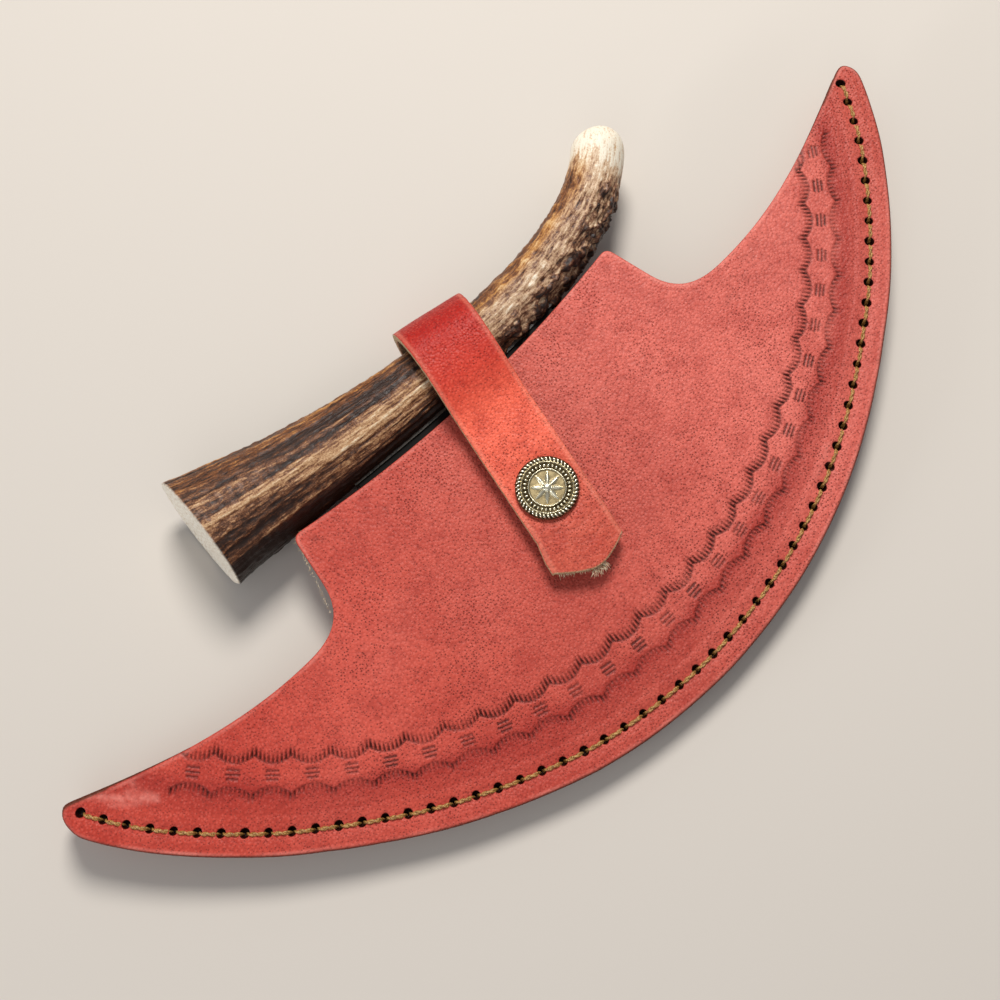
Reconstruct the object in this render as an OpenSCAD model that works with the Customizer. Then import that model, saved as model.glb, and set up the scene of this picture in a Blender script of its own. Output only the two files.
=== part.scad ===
// Crescent hand knife with an antler handle, carried in a stitched leather sheath
// that is closed over the handle by a strap with a press stud. Units are mm.
// The sheath lies flat: +X runs from the left horn to the right horn, +Y is the way
// the knife is drawn, +Z is the front. The origin is on the sheath's back face.

/* [Sheath outline] */
// Radius of the curved outer edge
arc_r = 153; // [120:1:190]
// How far the outer edge drops below the origin
body_drop = 36.5; // [25:0.5:50]
// Half the width over the two horn tips
half_span = 135.5; // [110:0.5:160]
// Height of the horn tips above the origin
horn_y = 48.6; // [40:0.1:60]
// Distance of each scallop's lowest point from the centre line
scallop_x = 72; // [64:0.5:90]
// Height of the scallops' lowest point
scallop_y = 34.5; // [25:0.5:44]
// Half the width of the neck that stands up to the handle
neck_half = 53.5; // [44:0.5:60]
// Height of the neck's left corner
neck_left_y = 58.6; // [50:0.1:66]
// Height of the neck's right corner
neck_right_y = 57.8; // [50:0.1:66]
// Height of the lowest point of the neck's top edge
neck_dip_y = 54.2; // [46:0.1:60]

/* [Leather] */
// Thickness of the front and back panels
panel_t = 2.5; // [1.5:0.1:4]
// Thickness of the welt that leaves room for the blade
welt_t = 3; // [2:0.1:5]
// Width of the welt along the outer edge
welt_w = 9.5; // [7:0.5:14]

/* [Stitching] */
// Distance of the stitch line from the outer edge
stitch_inset = 5.5; // [4:0.1:8]
// Distance between stitch holes
stitch_pitch = 5.4; // [3:0.1:8]
// Diameter of a stitch hole
hole_d = 2; // [1.6:0.1:2.6]
// Diameter of one waxed thread
thread_d = 0.8; // [0.5:0.1:1]
// Depth of the groove that the stitches lie in
groove_depth = 0.5; // [0.2:0.1:1]

/* [Blade] */
// Thickness of the blade
blade_t = 2.4; // [1.5:0.1:2.8]
// Gap between the cutting edge and the welt
edge_gap = 0.9; // [0.3:0.1:3]
// Width of the ground bevel
bevel_w = 13; // [4:0.5:25]
// Half the length of the tang inside the handle
tang_half = 33; // [20:1:45]
// Height of the tang's top edge
tang_top = 66.5; // [60:0.5:70]

/* [Antler handle] */
// Half the width of the handle at its sawn butt
butt_r = 15.5; // [12:0.1:18]
// Half the width of the handle near its tip
tip_r = 7; // [5:0.1:9]
// How much flatter the butt is than it is wide
butt_flat = 0.18; // [0:0.01:0.35]
// Clearance of the tang in its slot, filled with resin
bedding_gap = 0.6; // [0.3:0.1:1]
// Diameter of the cross pin through the tang
pin_d = 3; // [2:0.1:4]

/* [Strap] */
// Width of the strap
strap_w = 19; // [14:0.5:25]
// Thickness of the strap
strap_t = 2.2; // [1.5:0.1:3]
// Lean of the strap from the centre line, in degrees
strap_lean = 11.4; // [0:0.1:20]
// Where the strap crosses the handle, left to right
strap_x = 6.4; // [-10:0.1:20]
// Where the strap crosses the handle, height
strap_y = 64.2; // [60:0.1:70]
// Inside radius of the loop round the handle
loop_r = 10.4; // [9:0.1:14]
// Distance from the handle to the snap along the strap
snap_reach = 41.4; // [34:0.1:48]
// Distance from the handle to the end of the strap
strap_reach = 61.9; // [52:0.1:75]
// Distance from the handle to the end of the fixed tail
tail_reach = 40; // [32:0.5:50]
// Depth that the tail is let into the back panel
tail_seat = 0.4; // [0.2:0.1:1]

/* [Snap and rivets] */
// Diameter of the snap's cap
cap_d = 15.5; // [12:0.1:18]
// Height of the strap's underside over the front panel at the snap
snap_stack = 3; // [2.5:0.1:4]
// Diameter of the rivet caps
rivet_d = 8; // [6:0.1:10]

/* [Hidden] */
$fn = 48;
eps = 0.01;
arc_y = arc_r - body_drop;
sheath_t = 2 * panel_t + welt_t;
front_z = panel_t + welt_t;
mid_z = panel_t + welt_t / 2;
stitch_r = arc_r - stitch_inset;
stitch_n = 2 * floor(stitch_r * 61 * PI / 180 / stitch_pitch);
stitch_step = stitch_pitch / stitch_r * 180 / PI;
blade_r = arc_r - welt_w - edge_gap;
loop_y = 1.3;
loop_mid = loop_r + strap_t / 2;
arm_z = sheath_t + snap_stack + strap_t / 2;
tail_z = tail_seat - strap_t / 2;
rivet_y = [-22.5, -34.5];

// curves

function bez(p, n) =
    [for (i = [0 : n]) let (t = i / n, u = 1 - t)
        u * u * u * p[0] + 3 * u * u * t * p[1] + 3 * u * t * t * p[2] + t * t * t * p[3]];

function bez2(p, n) =
    [for (i = [0 : n]) let (t = i / n, u = 1 - t)
        u * u * p[0] + 2 * u * t * p[1] + t * t * p[2]];

function flip(p) = [for (i = [len(p) - 1 : -1 : 0]) [-p[i][0], p[i][1]]];

function on_arc(r, a) = [r * sin(a), arc_y - r * cos(a)];

// one side of the top edge, from the horn tip to the neck's corner
function top_side(corner_y) = concat(
    [[arc_r, horn_y - 4], [half_span, horn_y - 3], [half_span - 1.4, horn_y]],
    bez([[half_span - 1.5, horn_y + 0.2], [half_span - 23.5, horn_y - 8],
         [scallop_x + 20, scallop_y], [scallop_x, scallop_y]], 14),
    bez([[scallop_x - 1, scallop_y], [scallop_x - 10, scallop_y],
         [neck_half + 4, scallop_y + 3.5], [neck_half + 2.5, scallop_y + 11.5]], 8),
    bez2([[neck_half + 0.4, corner_y - 2.2], [neck_half, corner_y],
          [neck_half - 2.2, corner_y - 0.4]], 4));

function neck_top() = bez2([[neck_half - 2.4, neck_right_y - 0.45],
    [-2, 2 * neck_dip_y - (neck_right_y + neck_left_y) / 2 + 0.4],
    [2.6 - neck_half, neck_left_y - 0.45]], 16);

function upper_edge() = concat(
    [[arc_r, -arc_r]], top_side(neck_right_y), neck_top(),
    flip(top_side(neck_left_y)), [[-arc_r, -arc_r]]);

// the leather pieces

module crescent(z, t)
{
    intersection()
    {
        translate([0, arc_y, z])
            cylinder(r = arc_r, h = t, $fn = 180);
        translate([0, 0, z - 1])
            linear_extrude(height = t + 2)
                polygon(upper_edge());
    }
}

module ring(r_in, r_out, z, t)
{
    translate([0, arc_y, z])
        difference()
        {
            cylinder(r = r_out, h = t, $fn = 180);
            translate([0, 0, -1])
                cylinder(r = r_in, h = t + 2, $fn = 180);
        }
}

module stitch_holes()
{
    for (i = [0 : stitch_n])
    {
        p = on_arc(stitch_r, (i - stitch_n / 2) * stitch_step);
        translate([p[0], p[1], -1])
            cylinder(d = hole_d, h = sheath_t + 2, $fn = 16);
    }
}

module stitch_groove(z)
{
    a = stitch_n / 2 * stitch_step;
    w = hole_d / 2 - 0.1;
    translate([0, 0, z])
        linear_extrude(height = groove_depth * 2)
            polygon(concat(
                [for (i = [0 : 60]) on_arc(stitch_r - w, a * (i / 30 - 1))],
                [for (i = [60 : -1 : 0]) on_arc(stitch_r + w, a * (i / 30 - 1))]));
}

module in_strap_frame()
{
    translate([strap_x, strap_y, 0])
        rotate([0, 0, -strap_lean])
            children();
}

module front_panel()
{
    color("firebrick")
    difference()
    {
        crescent(front_z, panel_t);
        stitch_holes();
        stitch_groove(sheath_t - groove_depth);
        in_strap_frame()
            translate([0, -snap_reach, 0])
            {
                translate([0, 0, front_z - 1])
                    cylinder(d = 3.6, h = panel_t + 2);
                translate([0, 0, front_z - 1])
                    cylinder(d = 9.2, h = 1.7);
            }
    }
}

module back_panel()
{
    color("brown")
    difference()
    {
        crescent(0, panel_t);
        stitch_holes();
        stitch_groove(-groove_depth);
        in_strap_frame()
        {
            translate([-strap_w / 2 - 0.3, -tail_reach - 0.3, -1])
                cube([strap_w + 0.6, tail_reach + 1, 1 + tail_seat]);
            for (y = rivet_y)
                translate([0, y, -1])
                {
                    cylinder(d = 3.2, h = panel_t + 2);
                    translate([0, 0, panel_t + 0.2])
                        cylinder(d = rivet_d + 0.2, h = 2);
                }
        }
    }
}

module welt()
{
    color("sienna")
    difference()
    {
        intersection()
        {
            crescent(panel_t, welt_t);
            ring(arc_r - welt_w, arc_r + 1, panel_t - 1, welt_t + 2);
        }
        stitch_holes();
    }
}

// A running thread: over on one stitch, under on the next. Two of them share each hole.

module thread(first)
{
    r = thread_d / 2;
    top = sheath_t - groove_depth + r + 0.02;
    low = groove_depth - r - 0.02;
    line_r = stitch_r + (first == 0 ? 1 : -1) * (r + 0.05);
    path = [for (i = [0 : stitch_n])
        let (a = (i - stitch_n / 2) * stitch_step,
             up = (i + first) % 2 == 0,
             z1 = up ? low : top,
             z2 = up ? top : low)
        each [[a, i == 0 ? mid_z : z1], [a, z2]]];
    n = len(path);
    turn = [for (k = [0 : n - 2])
        [sign(path[k + 1][0] - path[k][0]), sign(path[k + 1][1] - path[k][1])]];
    // each ring lies in the plane that halves the corner, so the thread keeps its width
    pts = [for (k = [0 : n - 1])
        let (d1 = turn[max(k - 1, 0)], d2 = turn[min(k, n - 2)],
             side = d1 == d2 ? [-d1[1], d1[0]] : [-d1[1] - d2[1], d1[0] + d2[0]])
        for (c = [[-1, -1], [1, -1], [1, 1], [-1, 1]])
            let (v = c[1] * r * side,
                 p = on_arc(line_r + c[0] * r, path[k][0] + v[0] / stitch_r * 180 / PI))
            [p[0], p[1], path[k][1] + v[1]]];
    faces = concat(
        [[0, 1, 2], [0, 2, 3]],
        [for (k = [0 : n - 2]) for (j = [0 : 3])
            let (a = 4 * k + j, b = 4 * k + (j + 1) % 4)
            each [[a, a + 4, b + 4], [a, b + 4, b]]],
        [[4 * n - 4, 4 * n - 2, 4 * n - 3], [4 * n - 4, 4 * n - 1, 4 * n - 2]]);
    polyhedron(points = pts, faces = faces, convexity = 10);
}

module thread_a()
{
    color("goldenrod")
        thread(0);
}

module thread_b()
{
    color("darkgoldenrod")
        thread(1);
}

// The strap's line, seen from its side: y along the strap, z up

function tail_line() = concat(
    [[-tail_reach, tail_z]],
    bez([[-17, tail_z], [-9, tail_z], [-8.5, mid_z - loop_mid], [loop_y, mid_z - loop_mid]], 12),
    [for (a = [-78 : 13 : -13]) [loop_y + loop_mid * cos(a), mid_z + loop_mid * sin(a)]],
    [[loop_y + loop_mid, mid_z - 0.15]]);

function flap_line() = concat(
    [[loop_y + loop_mid, mid_z + 0.15]],
    [for (a = [10 : 10 : 90]) [loop_y + loop_mid * cos(a), mid_z + loop_mid * sin(a)]],
    bez([[loop_y - 2, mid_z + loop_mid], [-9, mid_z + loop_mid], [-12, arm_z], [-22, arm_z]], 10),
    [[-strap_reach, arm_z]]);

function heading(p, i) =
    let (a = p[max(i - 1, 0)], b = p[min(i + 1, len(p) - 1)], d = b - a)
    d / norm(d);

function band(p, t) = concat(
    [for (i = [0 : len(p) - 1]) let (d = heading(p, i)) p[i] + t / 2 * [-d[1], d[0]]],
    [for (i = [len(p) - 1 : -1 : 0]) let (d = heading(p, i)) p[i] - t / 2 * [-d[1], d[0]]]);

module strap_solid(line)
{
    translate([-strap_w / 2, 0, 0])
        rotate([90, 0, 90])
            linear_extrude(height = strap_w)
                polygon(band(line, strap_t));
}

module strap_tail()
{
    color("maroon")
    in_strap_frame()
        difference()
        {
            strap_solid(tail_line());
            for (y = rivet_y)
                translate([0, y, -5])
                    cylinder(d = 3.2, h = 10);
        }
}

module strap_flap()
{
    color("crimson")
    in_strap_frame()
        difference()
        {
            intersection()
            {
                strap_solid(flap_line());
                translate([0, 0, -20])
                    linear_extrude(height = 60)
                        polygon(concat(
                            [[strap_w, 30], [-strap_w, 30], [-strap_w / 2 - 1, -40]],
                            [for (a = [180 : 15 : 270])
                                [-strap_w / 2 + 6 + 6 * cos(a), 6 - strap_reach + 6 * sin(a)]],
                            [for (a = [270 : 15 : 360])
                                [strap_w / 2 - 4 + 4 * cos(a), 4 - strap_reach + 4 * sin(a)]],
                            [[strap_w / 2 + 1, -40]]));
            }
            translate([0, -snap_reach, 0])
                cylinder(d = 3.6, h = 30);
        }
}

// rivets that hold the tail to the back panel

module rivet_caps()
{
    color("peru")
    in_strap_frame()
        for (y = rivet_y)
            translate([0, y, tail_seat - strap_t])
                difference()
                {
                    rotate_extrude()
                        polygon([[0, -1], [rivet_d / 2 - 1.2, -0.9], [rivet_d / 2 - 0.3, -0.5],
                                 [rivet_d / 2, 0], [1.5, 0], [1.5, strap_t + 0.4],
                                 [0, strap_t + 0.4]]);
                    translate([0, 0, -0.4])
                        cylinder(d = 1.9, h = strap_t + 2);
                }
}

module rivet_posts()
{
    color("tan")
    in_strap_frame()
        for (y = rivet_y)
            translate([0, y, 0])
                rotate_extrude()
                    polygon([[0, tail_seat - strap_t], [0.93, tail_seat - strap_t],
                             [0.93, tail_seat + 0.6], [1.5, tail_seat + 0.6],
                             [1.5, panel_t + 0.2], [rivet_d / 2, panel_t + 0.2],
                             [rivet_d / 2, panel_t + 0.25], [0, panel_t + 0.25]]);
}

// the press stud

module snap_cap()
{
    z0 = sheath_t + snap_stack + strap_t;
    color("olive")
    in_strap_frame()
        translate([0, -snap_reach, z0])
            rotate_extrude($fn = 64)
                polygon([[0, -strap_t - 0.6], [1.7, -strap_t - 0.6], [1.7, 0],
                         [cap_d / 2 - 0.4, 0], [cap_d / 2, 0.6], [cap_d / 2 - 0.5, 1.5],
                         [cap_d / 2 - 1.7, 1.7], [cap_d / 2 - 2.3, 1.1], [2.2, 1.2],
                         [1.6, 1.7], [0, 1.8]]);
}

module snap_socket()
{
    z0 = sheath_t + snap_stack;
    color("darkkhaki")
    in_strap_frame()
        translate([0, -snap_reach, z0])
            rotate_extrude($fn = 64)
                polygon([[1.75, 0], [5.6, 0], [5.6, -0.8], [4.8, -1.2], [4.8, -2.2],
                         [3.1, -2.2], [3.1, -0.8], [1.75, -0.8]]);
}

module snap_stud()
{
    color("khaki")
    in_strap_frame()
        translate([0, -snap_reach, sheath_t])
            difference()
            {
                rotate_extrude($fn = 64)
                    polygon([[0, 0], [5, 0], [5, 0.5], [2.6, 0.6], [2.4, 1.2], [2.8, 1.7],
                             [2.4, 2.1], [0, 2.1]]);
                translate([0, 0, -1])
                    cylinder(d = 3.1, h = 2.2);
            }
}

module snap_eyelet()
{
    color("gold")
    in_strap_frame()
        translate([0, -snap_reach, front_z])
            rotate_extrude()
                polygon([[0, 0.15], [4.5, 0.15], [4.5, 0.65], [1.7, 0.7], [1.5, 1],
                         [1.5, panel_t + 1.1], [0, panel_t + 1.1]]);
}

// the knife

module blade()
{
    t = blade_t / 2;
    side = concat(
        [[blade_r, horn_y - 6.4], [123, horn_y - 5]],
        bez([[122.5, horn_y - 5.1], [106, horn_y - 13], [88, scallop_y - 3.4],
             [scallop_x, scallop_y - 3.4]], 12),
        bez([[scallop_x - 1, scallop_y - 3.4], [scallop_x - 14, scallop_y - 3.4],
             [tang_half + 12, scallop_y + 4], [tang_half + 7, scallop_y + 14]], 8),
        bez2([[tang_half + 6.5, scallop_y + 15], [tang_half + 3, 53.5], [tang_half, 54]], 4),
        [[tang_half, tang_top]]);
    color("silver")
    difference()
    {
        intersection()
        {
            translate([0, arc_y, mid_z])
                rotate_extrude($fn = 180)
                    polygon([[0, -t], [blade_r - bevel_w, -t], [blade_r, -0.15],
                             [blade_r, 0.15], [blade_r - bevel_w, t], [0, t]]);
            translate([0, 0, mid_z - 3])
                linear_extrude(height = 6)
                    polygon(concat([[blade_r, -arc_r]], side, flip(side), [[-blade_r, -arc_r]]));
        }
        translate([strap_x, 61.5, 0])
            cylinder(d = pin_d + 0.05, h = 20);
    }
}

// the handle is swept along a curve that bends away from the blade at both ends

function spine_at(t) =
    let (u = 1 - t)
    u * u * u * [-69, 76.5] + 3 * u * u * t * [-18, 64.5]
    + 3 * u * t * t * [56, 54] + t * t * t * [75, 81];

function girth(t) = (tip_r + (butt_r - tip_r) * pow(1 - t, 2.6))
    * (t > 0.93 ? sqrt(max(0.02, 1 - pow((t - 0.93) / 0.072, 2))) : 1);

module antler_body()
{
    m = 24;
    ts = concat([for (i = [0 : 30]) i / 32], [0.95, 0.965, 0.978, 0.99, 0.998, 1]);
    n = len(ts);
    pts = [for (t = ts)
        let (d0 = spine_at(min(t + 0.01, 1)) - spine_at(max(t - 0.01, 0)),
             d = d0 / norm(d0), c = spine_at(t), r = girth(t),
             rz = r * (1 - butt_flat * pow(1 - t, 2)))
        for (j = [0 : m - 1])
            let (a = 360 * j / m)
            [c[0] - d[1] * r * cos(a), c[1] + d[0] * r * cos(a), mid_z + rz * sin(a)]];
    faces = concat(
        [[for (j = [m - 1 : -1 : 0]) j]],
        [for (k = [0 : n - 2]) for (j = [0 : m - 1])
            let (a = m * k + j, b = m * k + (j + 1) % m)
            each [[a, b, b + m], [a, b + m, a + m]]],
        [[for (j = [0 : m - 1]) m * (n - 1) + j]]);
    polyhedron(points = pts, faces = faces, convexity = 6);
}

module tang_slot(g)
{
    translate([-tang_half - g, 40, mid_z - blade_t / 2 - g])
        cube([2 * tang_half + 2 * g, tang_top + g - 40, blade_t + 2 * g]);
}

module antler_handle()
{
    color("wheat")
    difference()
    {
        antler_body();
        tang_slot(bedding_gap);
        translate([strap_x, 61.5, -20])
            cylinder(d = pin_d + 0.05, h = 50);
    }
}

module tang_bedding()
{
    color("dimgray")
    difference()
    {
        intersection()
        {
            antler_body();
            tang_slot(bedding_gap - 0.01);
        }
        tang_slot(0.01);
        translate([strap_x, 61.5, -20])
            cylinder(d = pin_d + 0.05, h = 50);
    }
}

module handle_pin()
{
    color("lightgray")
    translate([strap_x, 61.5, mid_z - 7.6])
        cylinder(d = pin_d, h = 15.2);
}

front_panel();
back_panel();
welt();
thread_a();
thread_b();
strap_tail();
strap_flap();
rivet_caps();
rivet_posts();
snap_cap();
snap_socket();
snap_stud();
snap_eyelet();
blade();
antler_handle();
tang_bedding();
handle_pin();
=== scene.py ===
# Crescent hand knife with an antler handle, in a stitched red leather sheath that a
# strap with a press stud closes over the handle.
import math

import bmesh
import bpy
import numpy as np
from mathutils import Matrix, Vector, geometry, kdtree, noise


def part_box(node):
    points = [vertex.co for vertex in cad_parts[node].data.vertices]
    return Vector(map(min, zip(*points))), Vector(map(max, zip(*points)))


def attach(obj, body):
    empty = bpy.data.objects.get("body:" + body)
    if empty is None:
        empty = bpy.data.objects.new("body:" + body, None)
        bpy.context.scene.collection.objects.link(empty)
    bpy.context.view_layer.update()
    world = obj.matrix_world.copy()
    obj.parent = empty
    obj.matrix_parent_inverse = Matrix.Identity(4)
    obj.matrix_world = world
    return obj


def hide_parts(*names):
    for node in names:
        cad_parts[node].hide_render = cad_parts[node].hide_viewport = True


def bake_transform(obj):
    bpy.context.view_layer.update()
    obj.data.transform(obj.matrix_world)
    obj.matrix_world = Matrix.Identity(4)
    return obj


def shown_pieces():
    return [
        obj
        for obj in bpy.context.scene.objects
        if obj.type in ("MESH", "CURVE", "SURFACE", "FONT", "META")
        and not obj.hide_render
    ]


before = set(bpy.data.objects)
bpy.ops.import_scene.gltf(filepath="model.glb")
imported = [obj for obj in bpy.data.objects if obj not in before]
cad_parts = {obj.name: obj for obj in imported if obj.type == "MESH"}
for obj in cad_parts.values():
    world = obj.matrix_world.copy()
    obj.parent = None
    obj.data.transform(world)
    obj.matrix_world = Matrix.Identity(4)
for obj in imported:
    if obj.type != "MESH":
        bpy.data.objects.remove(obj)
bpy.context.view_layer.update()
scene = bpy.context.scene

# ---------------------------------------------------------------- the view
# The knife is looked at from above, a little from the curved side of the sheath. The
# left horn is at the lower left of the view, and the right horn at its upper right.
camera = bpy.data.objects.new("camera", bpy.data.cameras.new("camera"))
scene.collection.objects.link(camera)
scene.camera = camera
camera.data.sensor_width = 36
camera.data.lens = 50.55
camera.data.clip_start = 0.01
camera_at = Vector((-0.05569, -0.01482, 0.34501))
looks_at = Vector((-0.01013, 0.0313, 0))
picture_up = Vector((0.7028, 0.7114, 0))
view_back = (camera_at - looks_at).normalized()
view_right = picture_up.cross(view_back).normalized()
view_up = view_back.cross(view_right)
turned = Matrix((view_right, view_up, view_back)).transposed().to_4x4()
camera.matrix_world = Matrix.Translation(camera_at) @ turned


# ---------------------------------------------------------------- the leather panels
# The sheath is a front and a back panel of red vegetable-tanned leather, about 2.5 mm
# thick, cut to one crescent and tooled by hand along the outer edge. The outer edge is
# rounded and burnished; the edges at the mouth are left as they were cut.
MM = 0.001
front_low, front_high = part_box("front_panel")
back_low, back_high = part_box("back_panel")
face_z = front_high.z / MM
front_under_z = front_low.z / MM
back_z = back_low.z / MM
back_inner_z = back_high.z / MM

arc_r = 153.0
arc_y = arc_r + front_low.y / MM
scallop = (72.0, 34.5)
neck_half = 53.5
neck_left_y, neck_right_y, neck_dip_y = 59.4, 57.8, 54.2
horn_left = (137.9, 50.6)
horn_right = (134.2, 50.4)
horns_from = 118
# how far the hand-cut edge strays from a true arc, by the angle round its centre
bow_angles = np.radians([-64, -60, -56, -52, -48, -44, -40, -35, -25, -20, -15, -10, 0, 5, 10,
                         15, 20, 25, 30, 35, 40, 45, 50, 55, 60, 64])
bow_sizes = [3.6, 3.5, 3.0, 2.2, 1.4, 0.9, 0.2, -0.1, 0.2, 0.6, 1.2, 1.4, 1.3, 0.9, 0.6,
             0.1, -0.4, -1.0, -1.5, -1.7, -1.3, -1.1, -0.8, -0.4, -0.6, -1.0]
# nearer the centre than bow_from the edge's bow isn't felt; it grows over bow_span
bow_from, bow_span = 125, 20

stitch_r = 147.5
stitch_gaps = 58
stitch_step = math.radians(2.134)
stitch_middle = math.radians(-0.45)


def held(share):
    """The share, kept from 0 to 1."""
    return np.clip(share, 0, 1)


def bezier(corners, count):
    """Points along a Bezier curve of any degree."""
    t = np.linspace(0, 1, count + 1)[:, None]
    n = len(corners) - 1
    return sum(math.comb(n, k) * (1 - t) ** (n - k) * t ** k * np.array(c, float)
               for k, c in enumerate(corners))


def top_side(corner_y, horn):
    """The sheath's upper edge, from the horn to the neck's corner, drawn on the right."""
    span, high = horn
    sx, sy = scallop
    return np.vstack([
        [[span + 0.3, high - 3], [span - 1.4, high]],
        bezier([[span - 1.5, high - 0.1], [span - 25.5, high - 10], [sx + 20, sy], [sx, sy]], 24),
        bezier([[sx - 1, sy], [sx - 10, sy], [neck_half + 4, sy + 3.5],
                [neck_half + 2.5, sy + 11.5]], 14),
        bezier([[neck_half + 0.4, corner_y - 2.2], [neck_half, corner_y],
                [neck_half - 2.2, corner_y - 0.4]], 6)])


def resampled(loop, step):
    """The closed loop with its points an even distance apart."""
    ends = np.vstack([loop, loop[:1]])
    run = np.concatenate([[0], np.cumsum(np.linalg.norm(np.diff(ends, axis=0), axis=1))])
    count = int(run[-1] / step)
    at = np.linspace(0, run[-1], count, endpoint=False)
    return np.column_stack([np.interp(at, run, ends[:, k]) for k in (0, 1)])


def sheath_outline(left_grows=0.0, step=0.75):
    """The crescent, with horns and corners worn round. left_grows lifts the left horn's top."""
    left = (horn_left[0] + 0.5 * left_grows, horn_left[1] + left_grows)
    ends = [-math.asin((left[0] + 0.3) / (arc_r + bow_sizes[0])),
            math.asin((horn_right[0] + 0.2) / (arc_r + bow_sizes[-1]))]
    arc = on_arc(arc_r, np.linspace(ends[0], ends[1], 240))
    dip = [-2, 2 * neck_dip_y - (neck_right_y + neck_left_y) / 2 + 0.4]
    neck = bezier([[neck_half - 2.4, neck_right_y - 0.45], dip,
                   [2.6 - neck_half, neck_left_y - 0.45]], 24)
    mirrored = top_side(neck_left_y, left)[::-1] * [-1, 1]
    fine = resampled(np.vstack([arc, top_side(neck_right_y, horn_right), neck, mirrored]), 0.25)
    wear = np.where(abs(fine[:, 0]) > horns_from, 7, 1)
    for turn in range(7):
        soft = (np.roll(fine, 1, 0) + 2 * fine + np.roll(fine, -1, 0)) / 4
        soft = (np.roll(soft, 3, 0) + 2 * soft + np.roll(soft, -3, 0)) / 4
        fine = np.where((wear > turn)[:, None], soft, fine)
    return resampled(fine, step)


def inward(loop):
    """Unit normals that point into a loop that runs anticlockwise."""
    run = np.roll(loop, -1, 0) - np.roll(loop, 1, 0)
    run /= np.linalg.norm(run, axis=1)[:, None]
    return np.column_stack([-run[:, 1], run[:, 0]])


def distance_to(loop, points):
    """How far each point is from the loop."""
    fine = resampled(loop, 0.15)
    tree = kdtree.KDTree(len(fine))
    for k, (x, y) in enumerate(fine):
        tree.insert((x, y, 0), k)
    tree.balance()
    return np.array([tree.find((x, y, 0))[2] for x, y in points])


def polar(points):
    """Distance and angle of each point from the centre of the outer edge, its bow undone."""
    x, y = points[:, 0], arc_y - points[:, 1]
    far, turn = np.hypot(x, y), np.arctan2(x, y)
    bow = np.interp(turn, bow_angles, bow_sizes)
    part = (far + bow_from / bow_span * bow) / (1 + bow / bow_span)
    part = np.where(far < bow_from, far, part)
    return np.where(far > bow_from + bow_span + bow, far - bow, part), turn


def on_arc(r, turn):
    """Places at a distance and angle from the centre, moved by the edge's bow."""
    r = r + np.interp(turn, bow_angles, bow_sizes) * held((r - bow_from) / bow_span)
    return np.column_stack([r * np.sin(turn), arc_y - r * np.cos(turn)])


def polar_grid(r_from, r_to, r_step, turn_from, turn_to, run_step):
    """Points in rows round the arc's centre."""
    rows = np.arange(r_from, r_to + r_step / 2, r_step)
    run = np.arange(turn_from, turn_to, run_step / r_to)
    r, turn = (a.ravel() for a in np.meshgrid(rows, run))
    return on_arc(r, turn)


def ripple(points, size, seed):
    """Soft noise from -1 to 1 with features of about that size in mm."""
    return np.array([noise.noise(Vector((x / size, y / size, seed))) for x, y in points])


def hump(away, width):
    """1 where away is 0, falling off smoothly over the width."""
    return np.exp(-(away / width) ** 2)


# the tooled band: two rows of half-moon stamps back to back, and three bars between them
band_r = 134.7
band_from, band_to = math.radians(-55.0), math.radians(56.6)
band_cells = 28
band_cell = (band_to - band_from) / band_cells
hatches = 9


def tooling(points):
    """Depth of the tooled band at each point, in mm."""
    r, turn = polar(points)
    along = (turn - band_from) / band_cell
    cell = np.floor(along).astype(int)
    inside = (cell >= 0) & (cell < band_cells)
    x = 2 * (along - cell) - 1
    out = r - band_r
    depth = np.zeros(len(points))
    rng = np.random.default_rng(11)
    press = rng.uniform(0.7, 1.15, (3, band_cells))
    shift = rng.uniform(-0.25, 0.25, (2, band_cells))
    pick = np.clip(cell, 0, band_cells - 1)
    comb = (along * hatches) % 1 - 0.5
    pitch = band_cell * band_r / hatches
    stroke = hump(comb * pitch, 0.28)
    for row, side, hard, reach in ((0, -1, 0.62, 2.6), (1, 1, 0.42, 2.1)):
        past = side * out - (2.5 + 1.8 * x ** 2 + shift[row][pick])
        fade = held((past + 0.25) / 0.3) * held((reach - past) / (0.75 * reach))
        cusp = 0.6 + 0.5 * abs(x) ** 1.5
        lip = 0.55 * hump(past, 0.24)
        depth += hard * press[row][pick] * cusp * np.maximum(stroke * fade, lip)
    half = x * band_cell * band_r / 2
    for row, shorter in ((-1.0, 0.2), (0.05, 0.0), (1.0, 0.35)):
        bar = hump(out - row, 0.24) * held((1.95 - shorter - abs(half)) / 0.3)
        depth += 0.42 * press[2][pick] * bar
    return np.where(inside, depth, 0)


hole_turns = (np.arange(stitch_gaps + 1) - stitch_gaps / 2) * stitch_step + stitch_middle
hole_rings = ((1.38, 0), (1.2, 0.06), (1.06, 0.3), (0.95, 1.0), (0.7, 1.9), (0, 2.1))


def stitch_pits(seed):
    """The awl's slanted holes: the points of their rings, and how deep each lies."""
    rng = np.random.default_rng(seed)
    around = np.linspace(0, 2 * math.pi, 12, endpoint=False)
    points, depths = [], []
    for turn in hole_turns:
        grow = rng.uniform(0.9, 1.08)
        slant = math.radians(rng.uniform(12, 24))
        for scale, depth in hole_rings:
            rim = around if scale else around[:1]
            run = 0.98 * grow * scale * np.cos(rim)
            out = 1.10 * grow * scale * np.sin(rim) - 0.10
            run, out = (run * math.cos(slant) - out * math.sin(slant),
                        run * math.sin(slant) + out * math.cos(slant))
            points.append(on_arc(stitch_r + out, turn + run / stitch_r))
            depths.append(np.full(len(rim), depth))
    return np.vstack(points), np.concatenate(depths)


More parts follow.
